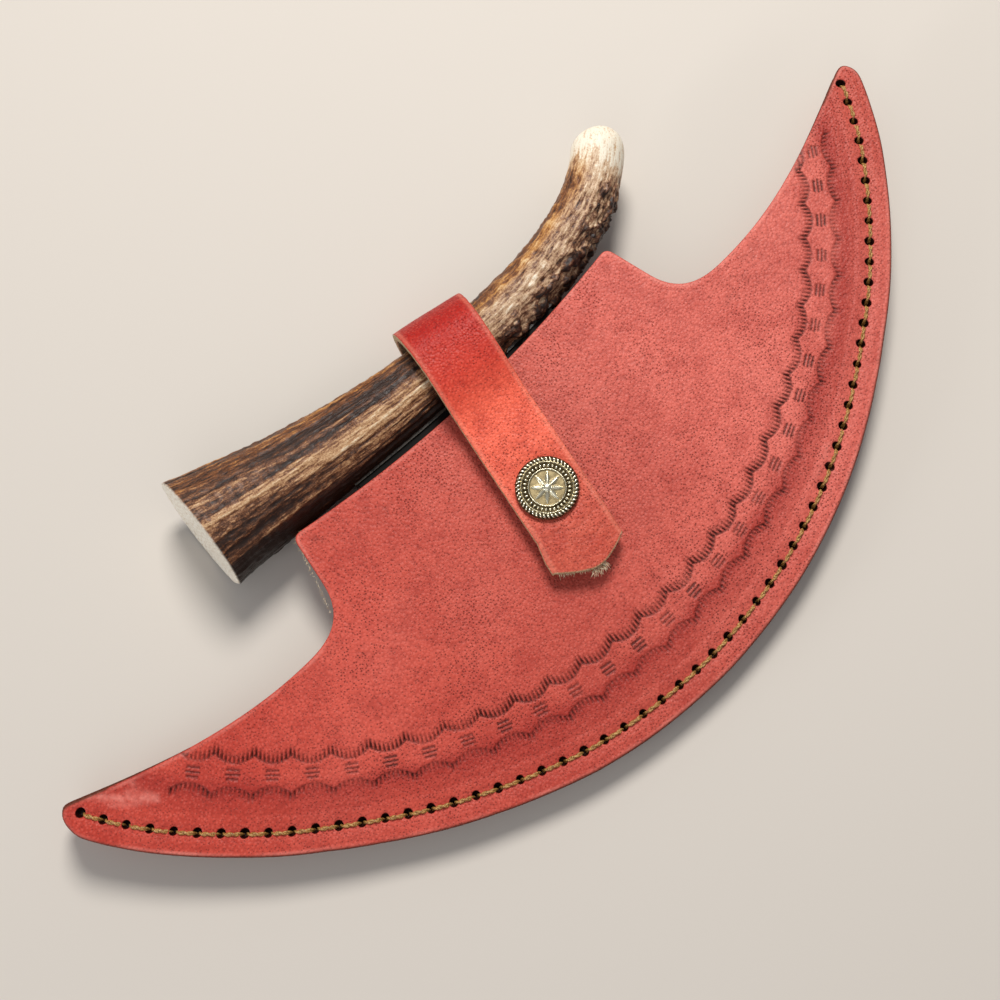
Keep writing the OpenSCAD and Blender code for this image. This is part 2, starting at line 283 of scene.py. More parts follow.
def near_hole(points, reach=1.75):
    """True for points that lie within a stitch hole's rings."""
    r, turn = polar(points)
    off = ((turn - stitch_middle) / stitch_step + stitch_gaps / 2 + 0.5) % 1 - 0.5
    run = off * stitch_step * stitch_r
    inside = abs(turn - stitch_middle) < hole_turns[-1] - stitch_middle + stitch_step / 2
    return inside & (np.hypot(run, r - stitch_r + 0.1) < reach)


def inset_rows(loop, steps):
    """Rows of points just inside the loop, which round its edge."""
    normal = inward(loop)
    rows = []
    for step in steps:
        row = loop + normal * step
        rows.append(row[distance_to(loop, row) > 0.82 * step])
    return np.vstack(rows)


def triangles(points, ring_count):
    """Delaunay triangles of the points inside the ring that the first ones make."""
    ring = [(k, (k + 1) % ring_count) for k in range(ring_count)]
    flat = [Vector(p) for p in points]
    made = geometry.delaunay_2d_cdt(flat, ring, [], 1, 1e-5)
    source = [ids[0] if ids else -1 for ids in made[3]]
    return [tuple(source[k] for k in face) for face in made[2]
            if min(source[k] for k in face) >= 0]


def piece(name, points, faces, finish):
    """A smooth mesh object from points in mm, with its place in its mesh."""
    mesh = bpy.data.meshes.new(name)
    mesh.from_pydata((np.asarray(points) * MM).tolist(), [], faces)
    mesh.materials.append(finish)
    mesh.shade_smooth()
    obj = bpy.data.objects.new(name, mesh)
    scene.collection.objects.link(obj)
    return obj


def mark(obj, **values):
    """Stores one number a point, which the finish reads."""
    for name, value in values.items():
        attribute = obj.data.attributes.new(name, "FLOAT", "POINT")
        attribute.data.foreach_set("value", np.asarray(value, np.float32))


def joined(starts, around, flip=False):
    """Faces between closed rings of points, given where each ring starts."""
    faces = []
    for low, high in zip(starts, starts[1:]):
        for j in range(around):
            a = (j + 1) % around
            faces.append((low + j, high + j, high + a, low + a) if flip
                         else (low + j, low + a, high + a, high + j))
    return faces


def square_grid(step):
    """Points in rows that cover the whole sheath."""
    grid = np.stack(np.meshgrid(np.arange(-140, 140, step), np.arange(-40, 62, step)), -1)
    return grid.reshape(-1, 2)


def cut_panel(name, loop, inside, relief, level, under, finish):
    """A panel whose finished face, at level, takes the relief; its other face is flat."""
    up = 1 if level > under else -1
    ring = len(loop)
    points = np.vstack([loop, inside])
    depth, marks = relief(points)
    face = np.column_stack([points, level - up * depth])
    grid = square_grid(5.0)
    grid = grid[inside_of(loop, grid) & (distance_to(loop, grid) > 2)]
    flat = np.vstack([loop, grid])
    normal = inward(loop)
    walls = []
    for share, swell in ((0.3, -0.05), (0.65, -0.06), (0.92, 0.02)):
        rough = 0.05 * ripple(loop, 1.1, 3 + share * 10)
        at = loop + normal * (swell + rough)[:, None]
        z = face[:ring, 2] + (under - face[:ring, 2]) * share
        walls.append(np.column_stack([at, z]))
    base = np.column_stack([flat, np.full(len(flat), under)])
    all_points = np.vstack([face] + walls + [base])
    rows = [0] + [len(face) + k * ring for k in range(len(walls) + 1)]
    faces = triangles(points, ring)
    for high, low in zip(rows, rows[1:]):
        faces += joined((low, high), ring)
    faces += [tuple(k + rows[-1] for k in reversed(f)) for f in triangles(flat, ring)]
    if up < 0:
        faces = [tuple(reversed(f)) for f in faces]
    obj = piece(name, all_points, faces, finish)
    extra = len(all_points) - len(face)
    burnished = marks.pop("cut", np.zeros(len(face)))
    cut_ends = np.concatenate([np.maximum(burnished, 0.6 * (np.arange(len(face)) < ring)),
                               np.ones(extra)])
    mark(obj, cut=cut_ends,
         **{k: np.concatenate([v, np.full(extra, v[:ring].mean())]) for k, v in marks.items()})
    return obj


def inside_of(loop, points):
    """True for the points inside the loop."""
    a, b = loop, np.roll(loop, -1, 0)
    x, y = points[:, 0][:, None], points[:, 1][:, None]
    spans = (a[:, 1] > y) != (b[:, 1] > y)
    cross = (b[:, 0] - a[:, 0]) * (y - a[:, 1]) / (b[:, 1] - a[:, 1] + 1e-12) + a[:, 0]
    return (spans & (x < cross)).sum(1) % 2 == 1


def node(tree, kind, feeds=None, **props):
    """Adds a node. Each feed is a value, or another node's output to link."""
    made = tree.nodes.new(kind)
    for key, value in props.items():
        setattr(made, key, value)
    for key, value in (feeds or {}).items():
        if isinstance(value, bpy.types.NodeSocket):
            tree.links.new(value, made.inputs[key])
        else:
            made.inputs[key].default_value = value
    return made


def wire(tree, kind, feeds=None, **props):
    """Adds a node, and gives back its first output."""
    return node(tree, kind, feeds, **props).outputs[0]


def maths(operation, a, b=0.0, clamp=False):
    """Adds a maths node beside the first of the two that is a wire."""
    tree = (a if isinstance(a, bpy.types.NodeSocket) else b).id_data
    return wire(tree, "ShaderNodeMath", {0: a, 1: b}, operation=operation, use_clamp=clamp)


def plus(a, b, clamp=False):
    return maths("ADD", a, b, clamp)


def minus(a, b):
    return maths("SUBTRACT", a, b)


def times(a, b, clamp=False):
    return maths("MULTIPLY", a, b, clamp)


def vectors(operation, a, b):
    return wire(a.id_data, "ShaderNodeVectorMath", {0: a, 1: b}, operation=operation)


def ramp(value, stops, ease="LINEAR"):
    """A colour ramp; each stop is a place and a colour or a grey."""
    made = node(value.id_data, "ShaderNodeValToRGB", {0: value})
    made.color_ramp.interpolation = ease
    bands = made.color_ramp.elements
    while len(bands) < len(stops):
        bands.new(0.5)
    for band, (place, shade) in zip(bands, stops):
        band.position = place
        band.color = (*shade, 1) if isinstance(shade, tuple) else (shade, shade, shade, 1)
    return made.outputs[0]


def tint(share, under, over):
    """Lays one colour over another by a share."""
    over = (*over, 1) if isinstance(over, tuple) else over
    return node(under.id_data, "ShaderNodeMix", {0: share, 6: under, 7: over},
                data_type="RGBA").outputs[2]


def finish(name, **fixed):
    """An empty material: its tree, its shader, and the place on the piece in mm."""
    made = bpy.data.materials.new(name)
    made.use_nodes = True
    tree = made.node_tree
    tree.nodes.clear()
    skin = node(tree, "ShaderNodeBsdfPrincipled", fixed)
    node(tree, "ShaderNodeOutputMaterial", {"Surface": skin.outputs[0]})
    own = node(tree, "ShaderNodeTexCoord").outputs["Object"]
    return made, tree, skin, vectors("MULTIPLY", own, (1000, 1000, 1000))


def cover(skin, colour, dull=None, height=None, strength=1.0, depth=0.1):
    """Feeds a shader its colour, its roughness, and its fine relief with a depth in mm."""
    tree = skin.id_data
    tree.links.new(colour, skin.inputs["Base Color"])
    if dull is not None:
        tree.links.new(dull, skin.inputs["Roughness"])
    if height is not None:
        bump = wire(tree, "ShaderNodeBump", {"Strength": strength, "Distance": depth * MM,
                                             "Height": height})
        tree.links.new(bump, skin.inputs["Normal"])


def speckle(at, scale, scatter=1.0):
    return node(at.id_data, "ShaderNodeTexVoronoi",
                {"Vector": at, "Scale": scale, "Randomness": scatter}).outputs["Distance"]


def cloud(at, scale, detail=2.0, rough=0.5, out="Fac"):
    return node(at.id_data, "ShaderNodeTexNoise",
                {"Vector": at, "Scale": scale, "Detail": detail, "Roughness": rough}).outputs[out]


def stored(tree, name, out="Fac"):
    return node(tree, "ShaderNodeAttribute", attribute_name=name).outputs[out]


def shaded(colour, share):
    return tuple(share * c for c in colour)


def leather(name, deep, full, pale, dye_and_painted_light=None, band=True, by=None, edge=None, hold=0.72):
    """Aniline-dyed leather: uneven dye, dark pores, pebbled grain, and a painted highlight on the
    pebbles' tops.
    The given ramp shades it from end to end, by a stored value or from left to right; it is partly
    dye and partly painted light and shade."""
    made, tree, skin, at = finish(name, **{"Specular IOR Level": 0.24})
    colour = ramp(cloud(at, 0.028, 4.0, 0.55), [(0.30, deep), (0.50, full), (0.74, pale)])
    # a ramp along the piece, partly dye and partly painted light and shade
    if dye_and_painted_light:
        across = node(tree, "ShaderNodeSeparateXYZ", {0: at}).outputs[0]
        lean = stored(tree, by) if by else plus(times(across, 1 / 260), 0.5)
        colour = tint(hold, colour, ramp(lean, dye_and_painted_light))
    mottle = cloud(at, 0.16, 5.0, 0.6)
    colour = tint(ramp(mottle, [(0.44, 0.0), (0.66, 0.34)]), colour, deep)
    wander = cloud(at, 0.05, 3.0)
    if band:
        # the dye gathers along the tooled band
        flat = vectors("MULTIPLY", vectors("ADD", at, (0, -arc_y, 0)), (1, 1, 0))
        far = node(tree, "ShaderNodeVectorMath", {0: flat}, operation="LENGTH").outputs["Value"]
        zone = maths("DIVIDE", minus(plus(far, times(wander, 7.0)), 136.0), 20.0, clamp=True)
        streak = ramp(zone, [(0.10, 0.0), (0.34, 0.75), (0.50, 0.45), (0.66, 0.12)], "EASE")
        colour = tint(streak, colour, deep)
    bent = wire(tree, "ShaderNodeVectorMath", {0: cloud(at, 0.8, out="Color"),
                                               1: (0.2, 0.2, 0.2), 2: at},
                operation="MULTIPLY_ADD")
    pebble = speckle(bent, 1.35, 0.9)
    pore = speckle(bent, 1.45, 0.8)
    amount = ramp(wander, [(0.35, 0.45), (0.65, 1.0)])
    pit = times(ramp(pore, [(0.19, 1.0), (0.37, 0.0)]), amount)
    colour = tint(ramp(pebble, [(0.42, 0.0), (0.80, 0.26)]), colour, shaded(deep, 0.5))
    colour = tint(times(pit, 0.66), colour, shaded(deep, 0.18))
    # painted highlight: pale specks on the pebbles' tops, where there are few pores
    painted_grain_highlight = times(ramp(pebble, [(0.10, 0.5), (0.42, 0.0)]), minus(1.0, amount))
    colour = tint(painted_grain_highlight, colour, pale)
    # darker where the leather is pressed: partly the real darkening of tooled leather, partly
    # painted shade in the tool marks, creases and stitch holes
    pressed = times(stored(tree, "pressed"), 0.9, clamp=True)
    colour = tint(pressed, colour, shaded(deep, 0.05))
    # pale where the finish is scuffed, which is real, and a painted highlight along the rounded
    # edges
    rubbed = times(stored(tree, "rubbed"), 0.5, clamp=True)
    colour = tint(rubbed, colour, tuple(min(1, 1.35 * c + 0.08) for c in pale))
    burnished = [(0.35, shaded(deep, 0.28)), (0.62, (0.15, 0.05, 0.026)),
                 (0.75, (0.42, 0.26, 0.13))]
    cut = stored(tree, "cut")
    colour = tint(cut, colour, ramp(cloud(at, 3.0, 4.0, 0.7), edge or burnished))
    dull = ramp(cloud(at, 0.5, 3.0), [(0.3, 0.36), (0.7, 0.52)])
    dull = plus(plus(dull, times(pit, 0.25), clamp=True), times(cut, 0.3), clamp=True)
    domes = minus(times(cloud(at, 4.5, 3.0, 0.6), 0.35), times(pebble, 0.85))
    cover(skin, colour, dull, minus(domes, times(pit, 0.55)), 1.0, 0.15)
    return made


# the sheath's ramp from left to right is partly dye and partly a painted sheen that makes the right
# side paler and pinker
sheath_red = leather("sheath_red_leather", (0.36, 0.024, 0.016), (0.64, 0.105, 0.07),
                     (0.80, 0.20, 0.15),
                     [(0.0, (0.60, 0.050, 0.028)), (0.22, (0.66, 0.085, 0.055)),
                      (0.45, (0.60, 0.098, 0.068)), (0.68, (0.78, 0.165, 0.125)),
                      (0.86, (0.76, 0.175, 0.135)), (1.0, (0.55, 0.09, 0.06))])

edge_round = 0.75
inset_steps = (0.12, 0.3, 0.52, 0.78, 1.3)
seam_in, seam_out = 141.4, 151.4


def edge_drop(d, radius):
    near = np.clip(radius - d, 0, radius)
    return radius - np.sqrt(np.maximum(radius ** 2 - near ** 2, 0))


def neck_wrinkles(points):
    """Short creases that fan out from the neck's two corners."""
    marks = np.zeros(len(points))
    for x, y, way, length, bend, deep in (
            (-51.0, 57.2, -62, 9, 0.04, 0.10), (-49.2, 57.0, -58, 11, 0.03, 0.13),
            (-47.5, 56.6, -52, 8, 0.05, 0.09), (-52.6, 54.0, -75, 8, 0.02, 0.11),
            (-51.0, 52.5, -70, 7, 0.04, 0.08), (-45.0, 56.4, -40, 7, 0.0, 0.08),
            (-44.0, 47.5, 22, 14, 0.02, 0.07), (-40.0, 44.5, 24, 12, 0.02, 0.06),
            (46.0, 54.5, -20, 9, 0.03, 0.07), (44.0, 52.0, -28, 10, 0.02, 0.07),
            (60.0, 28.5, 6, 22, 0.008, 0.06), (62.0, 25.5, 10, 20, 0.008, 0.06),
            (68.0, 30.5, 0, 16, 0.01, 0.06), (20.0, 50.5, 10, 12, 0.0, 0.05)):
        turn = math.radians(way)
        rel = points - (x, y)
        run = rel @ (math.cos(turn), math.sin(turn))
        off = rel @ (-math.sin(turn), math.cos(turn)) - bend * run ** 2 / 2
        off += 0.7 * ripple(points, 3.0, x)
        ends = held(run / 1.5) * held((length - run) / 2.5)
        marks += deep * hump(off, 0.26) * ends
    return marks


def scuffs(points):
    """Pale scratches in the finish, as short bent strokes."""
    marks = np.zeros(len(points))
    for x1, y1, x2, y2, wide, hard in (
            (-130.4, 48.6, -125.3, 42.8, 0.8, 1.3), (-125.3, 42.8, -118.4, 36.2, 0.8, 1.2),
            (-120.6, 42.4, -119.2, 37.2, 0.7, 0.8), (-127.6, 42.8, -121.0, 37.0, 0.6, 0.7),
            (48.0, -20.0, 56.5, -16.5, 0.5, 0.55), (52.0, -22.5, 54.5, -17.0, 0.4, 0.45),
            (95.5, 38.0, 104.0, 33.5, 0.3, 0.25)):
        run = np.array([x2 - x1, y2 - y1])
        rel = points - (x1, y1)
        share = held(rel @ run / (run @ run))
        away = np.linalg.norm(rel - share[:, None] * run, axis=1) + 0.3 * ripple(points, 1.6, x1)
        marks = np.maximum(marks, hard * hump(away, wide))
    return marks * (0.7 + 0.6 * ripple(points, 0.9, 5.5))


def stitched_relief(loop, pit_points, pit_depths, tooled, seed):
    """The relief of a stitched face: channel, creases, soft unevenness, and tooling."""
    def relief(points):
        r = polar(points)[0]
        d = distance_to(loop, points)
        outer = r > arc_r - 12
        depth = np.where(outer, edge_drop(d, edge_round), edge_drop(d, 0.35))
        depth += 0.34 * hump(r - stitch_r, 1.7)
        depth += 0.16 * hump(r - stitch_r + 4.0, 0.33)
        depth += np.where(outer, 0.11 * hump(d - 1.5, 0.3), 0)
        depth -= 0.22 * ripple(points, 26, seed) + 0.09 * ripple(points, 9, seed + 4)
        depth += 0.12
        pressed = np.zeros(len(points))
        if tooled:
            tool = tooling(points)
            wrinkled = neck_wrinkles(points)
            depth += tool + wrinkled
            # tool marks and creases darken: partly real, partly painted shade
            pressed = held(tool / 0.38 + 2.6 * wrinkled) ** 0.95
        pit_count = len(pit_points)
        where = slice(len(points) - pit_count, len(points))
        depth[where] += pit_depths
        # painted shade in the stitch holes
        pressed[where] = np.maximum(pressed[where], held((pit_depths - 0.1) / 0.2) * 1.3)
        # painted highlight: a pale line just inside the rounded edge; the scuffs added on the front
        # are real
        rubbed = hump(d - 0.62, 0.28) * (0.45 + 0.8 * ripple(points, 7, 2.5))
        rubbed = np.maximum(rubbed, scuffs(points)) if tooled else rubbed
        burnished = np.where(outer, hump(d, 0.42), 0)
        return np.maximum(depth, 0), {"pressed": pressed, "rubbed": held(rubbed),
                                      "cut": burnished}
    return relief


def face_points(loop, tooled, seed):
    """Where the face needs points: its edge, the tooled band, the stitch line, and between."""
    pits, depths = stitch_pits(seed)
    sets = [inset_rows(loop, inset_steps)]
    edge = polar(loop)[1]
    fine = polar_grid(seam_in, seam_out, 0.55, edge.min(), edge.max(), 0.6)
    fine = fine[~near_hole(fine)]
    coarse = square_grid(1.7)
    coarse[:, 0] += 0.85 * (np.round(coarse[:, 1] / 1.7) % 2)
    r, turn = polar(coarse)
    clear = r < seam_in - 0.5
    if tooled:
        band = polar_grid(band_r - 6.6, band_r + 6.3, 0.3, band_from, band_to, 0.2)
        clear &= ~((abs(r - band_r) < 6.9) & (turn > band_from) & (turn < band_to))
        sets.append(band)
    sets += [fine, coarse[clear]]
    inner = np.vstack(sets[1:])
    inner = inner[inside_of(loop[::2], inner)]
    inner = inner[distance_to(loop, inner) > inset_steps[-1] + 0.35]
    rows = sets[0][~near_hole(sets[0])]
    fits = distance_to(loop, pits) > 0.25
    return np.vstack([rows, inner, pits[fits]]), pits[fits], depths[fits]


front_loop = sheath_outline()
inside, pits, depths = face_points(front_loop, True, 5)
front_panel = cut_panel("front_leather", front_loop, inside,
                        stitched_relief(front_loop, pits, depths, True, 1.3),
                        face_z, front_under_z, sheath_red)
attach(front_panel, "sheath")
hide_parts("front_panel")

tail_half = 9.8
tail_end = -40.4
strap_at = (6.4, 64.2)
strap_lean = math.radians(11.4)


def strap_frame(points):
    """Turns sheath places (mm) into places along and across the strap."""
    x, y = points[:, 0] - strap_at[0], points[:, 1] - strap_at[1]
    c, s = math.cos(strap_lean), math.sin(strap_lean)
    return np.column_stack([x * c - y * s, x * s + y * c])


back_loop = sheath_outline(left_grows=1.3)
inside, pits, depths = face_points(back_loop, False, 6)
back_plain = stitched_relief(back_loop, pits, depths, False, 7.7)


def back_relief(points):
    """The back's relief, with the shallow seat that the strap's tail is let into."""
    depth, marks = back_plain(points)
    across, along = strap_frame(points).T
    clear = np.minimum(tail_half + 0.9 - abs(across), along - tail_end + 0.9)
    return np.maximum(depth, 0.44 * held(clear / 0.5)), marks


back_panel = cut_panel("back_leather", back_loop, inside, back_relief,
                       back_z, back_inner_z, sheath_red)
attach(back_panel, "sheath")
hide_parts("back_panel")


# ---------------------------------------------------------------- the welt
# A strip of thick leather between the two panels keeps the cutting edge off the
# stitches. Only its dark burnished edge shows, all along the curved side.
welt_inner_r = 143.5
welt_loop = sheath_outline(left_grows=0.6, step=0.9)
r_welt = polar(welt_loop)[0]
start = int(np.argmax((r_welt >= welt_inner_r) & (np.roll(r_welt, 1) < welt_inner_r)))
run = np.roll(np.arange(len(welt_loop)), -start)
run = run[:int(np.argmax(r_welt[run] < welt_inner_r))]
edge = welt_loop[run]
back_turns = np.linspace(polar(edge)[1][-1], polar(edge)[1][0], 300)[1:-1]
welt_ring = np.vstack([edge + inward(welt_loop)[run] * 0.12, on_arc(welt_inner_r, back_turns)])


def plain_relief(points):
    none = np.zeros(len(points))
    return none, {"pressed": none, "rubbed": none}


welt_brown = leather("welt_burnished_leather", (0.16, 0.03, 0.016), (0.24, 0.05, 0.028),
                     (0.36, 0.12, 0.06), band=False)
welt = cut_panel("welt_leather", welt_ring, np.zeros((0, 2)), plain_relief,
                 front_under_z, back_inner_z, welt_brown)
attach(welt, "sheath")
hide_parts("welt")


# ---------------------------------------------------------------- the stitching
# Two waxed threads run through every awl hole in opposite order, so each gap has one
# stitch in front and one behind. Each stitch is two plies twisted together.
def new_tree(name, sizes):
    """An empty node tree with these named sizes, and the outputs that hand them on."""
    tree = bpy.data.node_groups.new(name, "GeometryNodeTree")
    tree.interface.new_socket("Geometry", in_out="OUTPUT", socket_type="NodeSocketGeometry")
    kinds = {int: "Int", float: "Float", tuple: "Vector"}
    for size, value in sizes.items():
        made = tree.interface.new_socket(size, in_out="INPUT",
                                         socket_type="NodeSocket" + kinds[type(value)])
        made.default_value = value
    return tree, node(tree, "NodeGroupInput").outputs


def laid_on(points, shape, turn, scale=(1, 1, 1)):
    """Sets a copy of the shape on every point."""
    return wire(points.id_data, "GeometryNodeInstanceOnPoints",
                {"Points": points, "Instance": shape, "Rotation": turn, "Scale": scale})


def end_tree(laid, material, smooth=True):
    """Makes the laid shapes real, gives them their material, and ends the tree."""
    tree = laid.id_data
    real = wire(tree, "GeometryNodeRealizeInstances", {0: laid})
    if smooth:
        real = wire(tree, "GeometryNodeSetShadeSmooth", {0: real})
    node(tree, "NodeGroupOutput", {0: wire(tree, "GeometryNodeSetMaterial",
                                           {"Geometry": real, "Material": material})})
    return tree


def stitch_row_tree(thread):
    """A node tree that lays a row of twisted stitches along an arc."""
    tree, given = new_tree("stitch_row", {
        "Stitches": 58, "Step": 0.0366, "Middle": 0.0, "Line radius": 0.1475,
        "Centre": (0, 0, 0), "Height": 0.008, "Side": 1.0, "Length": 0.0052,
        "Ply radius": 0.0003, "Dip": 0.0015})
    line = wire(tree, "GeometryNodeCurvePrimitiveLine", {"End": (1, 0, 0)})
    line = wire(tree, "GeometryNodeResampleCurve", {"Curve": line, "Count": 15})
    share = wire(tree, "GeometryNodeSplineParameter")
    centred = minus(share, 0.5)
    drop = times(maths("POWER", maths("ABSOLUTE", times(centred, 2.0)), 4.0), given["Dip"])
    apart = times(given["Ply radius"], 0.78)
    stitch = node(tree, "GeometryNodeJoinGeometry")
    for phase in (0.0, math.pi):
        twist = plus(times(share, 2.6 * math.pi), phase)
        out = times(maths("COSINE", twist), apart)
        rise = times(minus(times(maths("SINE", twist), apart), drop), given["Side"])
        place = wire(tree, "ShaderNodeCombineXYZ", {
            0: times(centred, given["Length"]), 1: minus(out, given["Line radius"]),
            2: plus(rise, given["Height"])})
        ply = wire(tree, "GeometryNodeSetPosition", {"Geometry": line, "Position": place})
        profile = wire(tree, "GeometryNodeCurvePrimitiveCircle",
                       {"Resolution": 6, "Radius": given["Ply radius"]})
        ply = wire(tree, "GeometryNodeCurveToMesh", {"Curve": ply, "Profile Curve": profile,
                                                     "Fill Caps": True})
        tree.links.new(ply, stitch.inputs[0])
    row = wire(tree, "GeometryNodeMeshLine", {"Count": given["Stitches"], "Offset": (0, 0, 0),
                                              "Start Location": given["Centre"]})
    half = times(minus(given["Stitches"], 1.0), 0.5)
    slack = node(tree, "FunctionNodeRandomValue", {2: -0.0012, 3: 0.0012, "Seed": 4},
                 data_type="FLOAT").outputs[1]
    turn = times(minus(wire(tree, "GeometryNodeInputIndex"), half), given["Step"])
    turn = plus(plus(turn, slack), given["Middle"])
    spin = wire(tree, "ShaderNodeCombineXYZ", {2: turn})
    return end_tree(laid_on(row, stitch.outputs[0], spin), thread)


def grown(name, tree, **sizes):
    """Runs a node tree with these sizes, and keeps the result as a plain mesh."""
    obj = bpy.data.objects.new(name, bpy.data.meshes.new(name))
    scene.collection.objects.link(obj)
    modifier = obj.modifiers.new("nodes", "NODES")
    modifier.node_group = tree
    for item in tree.interface.items_tree:
        key = item.name.replace(" ", "_").lower()
        if item.in_out == "INPUT" and key in sizes:
            modifier[item.identifier] = sizes[key]
    bpy.context.view_layer.update()
    made = bpy.data.meshes.new_from_object(
        obj.evaluated_get(bpy.context.evaluated_depsgraph_get()))
    obj.modifiers.clear()
    obj.data = made
    made.name = name
    return obj


waxed_thread, tree, skin, at = finish("waxed_golden_thread", **{"Roughness": 0.45,
                                                              "Specular IOR Level": 0.5})
strands = cloud(at, 3.2, 4.0)
cover(skin, ramp(strands, [(0.32, (0.10, 0.035, 0.010)), (0.50, (0.40, 0.19, 0.045)),
                           (0.70, (0.70, 0.44, 0.15))]), None, strands, 0.6, 0.1)

stitches = stitch_row_tree(waxed_thread)
arc_centre = (0.0, arc_y * MM, 0.0)
thread_lift = -0.22
for name, node_name, level, side in (("stitches_front", "thread_a", face_z, 1.0),
                                     ("stitches_back", "thread_b", back_z, -1.0)):
    row = grown(name, stitches, stitches=stitch_gaps, step=stitch_step, centre=arc_centre,
                line_radius=(stitch_r + 0.15) * MM, height=(level + side * thread_lift) * MM,
                side=side, length=0.0051, ply_radius=0.00031, dip=0.0030, middle=stitch_middle)
    places = np.array([v.co for v in row.data.vertices]) / MM
    away = arc_y - places[:, 1]
    places[:, :2] = on_arc(np.hypot(places[:, 0], away), np.arctan2(places[:, 0], away))
    row.data.vertices.foreach_set("co", (places * MM).astype(np.float32).ravel())
    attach(row, "sheath")
    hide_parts(node_name)


# ---------------------------------------------------------------- the strap
# One strip of the same leather: its tail is riveted to the sheath's back, it loops round
# the handle, and its free end buttons down on the front. The cut sides show pale fibre.
strap_half = 9.5
strap_t = 2.2
arm_z = 12.1
tail_z = -0.7
mid_z = 4.0
loop_y = 1.3
loop_r = 11.5
strap_end = -63.9
snap_along = -41.4


def strap_line():
    """The strap's middle line from its tail's end to its free end: along, and height."""
    turn = np.radians(np.arange(-78, 91, 6.0))
    return np.vstack([
        [[-40, tail_z]],
        bezier([[-39.5, tail_z], [-32, tail_z], [-25, tail_z], [-17.3, tail_z]], 14),
        bezier([[-17, tail_z], [-9, tail_z], [-8.5, mid_z - loop_r], [loop_y, mid_z - loop_r]], 18),
        np.column_stack([loop_y + loop_r * np.cos(turn), mid_z + loop_r * np.sin(turn)]),
        bezier([[loop_y - 1.2, mid_z + loop_r], [-9, mid_z + loop_r + 0.1], [-12, arm_z],
                [-22, arm_z]], 24)[1:],
        bezier([[-23, arm_z], [-35, arm_z - 0.1], [-50, arm_z + 0.1], [strap_end, arm_z]], 60)])


def strap_to_sheath(across, along, high):
    """The strap's own places (mm) as sheath places."""
    c, s = math.cos(strap_lean), math.sin(strap_lean)
    return np.column_stack([strap_at[0] + across * c + along * s,
                            strap_at[1] - across * s + along * c, high])


def strap_end_line(across):
    """How far the hand-cut free end stops short of its furthest point."""
    left = held((-0.5 - across) / 9.3) ** 1.4
    right = held((across - 0.5) / 9.0) ** 1.6
    return 4.2 * left + 4.0 * right


line = strap_line()
run = np.concatenate([[0], np.cumsum(np.linalg.norm(np.diff(line, axis=0), axis=1))])
rows = np.linspace(0, run[-1], 300)
line = np.column_stack([np.interp(rows, run, line[:, k]) for k in (0, 1)])
way = np.gradient(line, axis=0)
way /= np.linalg.norm(way, axis=1)[:, None]
outward = np.column_stack([way[:, 1], -way[:, 0]])

# the strip's cross-section: a flat face, a rounded and slightly hollow cut side, a flat underside
corner = 0.4
half_t = strap_t / 2
wide = 45
flat = strap_half - corner
curve = np.linspace(0, math.pi / 2, 5)
right_side = [(flat + corner * math.sin(a), half_t - corner + corner * math.cos(a))
              for a in curve[1:]]
right_side += [(strap_half + 0.05, 0.3), (strap_half - 0.06, -0.25)]
right_side += [(flat + corner * math.cos(a), corner - half_t - corner * math.sin(a))
               for a in curve[:-1]]
section = [(u * flat, half_t) for u in np.linspace(-1, 1, wide)] + right_side
section += [(u * flat, -half_t) for u in np.linspace(1, -1, wide)]
section += [(-x, z) for x, z in reversed(right_side)]
section = np.array(section)
around = len(section)


def creases(across, along):
    """Fine wrinkles in the strap below the press stud, from being pulled open."""
    marks = np.zeros(len(across))
    for at, slope, bow, hard, left, right in (
            (-51.6, 0.10, 0.020, 0.15, -8, 1), (-53.2, 0.16, 0.012, 0.12, -5, 7),
            (-55.4, 0.05, 0.016, 0.14, -7, 3), (-49.0, 0.55, 0.0, 0.14, 4, 9),
            (-51.5, 0.42, 0.0, 0.12, 3, 9), (-57.6, 0.02, 0.010, 0.10, -3, 8),
            (-52.4, -0.12, 0.0, 0.10, -9, -2), (-56.6, -0.10, 0.01, 0.09, 0, 8),
            (-54.3, 0.30, 0.0, 0.10, 1, 8), (-50.2, 0.02, 0.03, 0.12, -8, -1)):
        wander = 1.1 * ripple(np.column_stack([across, along]), 2.4, at)
        off = along - (at + slope * across + bow * across ** 2) + wander
        ends = held((across - left) / 2) * held((right - across) / 2)
        marks += hard * hump(off, 0.24) * ends
    return marks


across, high = (np.tile(section[:, k], len(line)) for k in (0, 1))
along, level = (np.repeat(line[:, k], around) for k in (0, 1))
out_along, out_level = (np.repeat(outward[:, k], around) for k in (0, 1))
free = np.repeat(rows, around)
places = np.column_stack([across + 50, free])
on_face = high > half_t - 0.05
on_side = abs(across) > strap_half - 0.3
arm = (level > mid_z) & (along < 0)
wrinkle = np.where(on_face & arm, creases(across, along), 0)
dent = np.hypot(across, along - snap_along)
on_cut = (abs(across) > strap_half - 0.22) & (abs(high) < half_t - 0.12)
# painted highlight: a pale line just inside each rounded edge of the strap's face
rubbed_line = hump(strap_half - 0.7 - abs(across), 0.5) * on_face

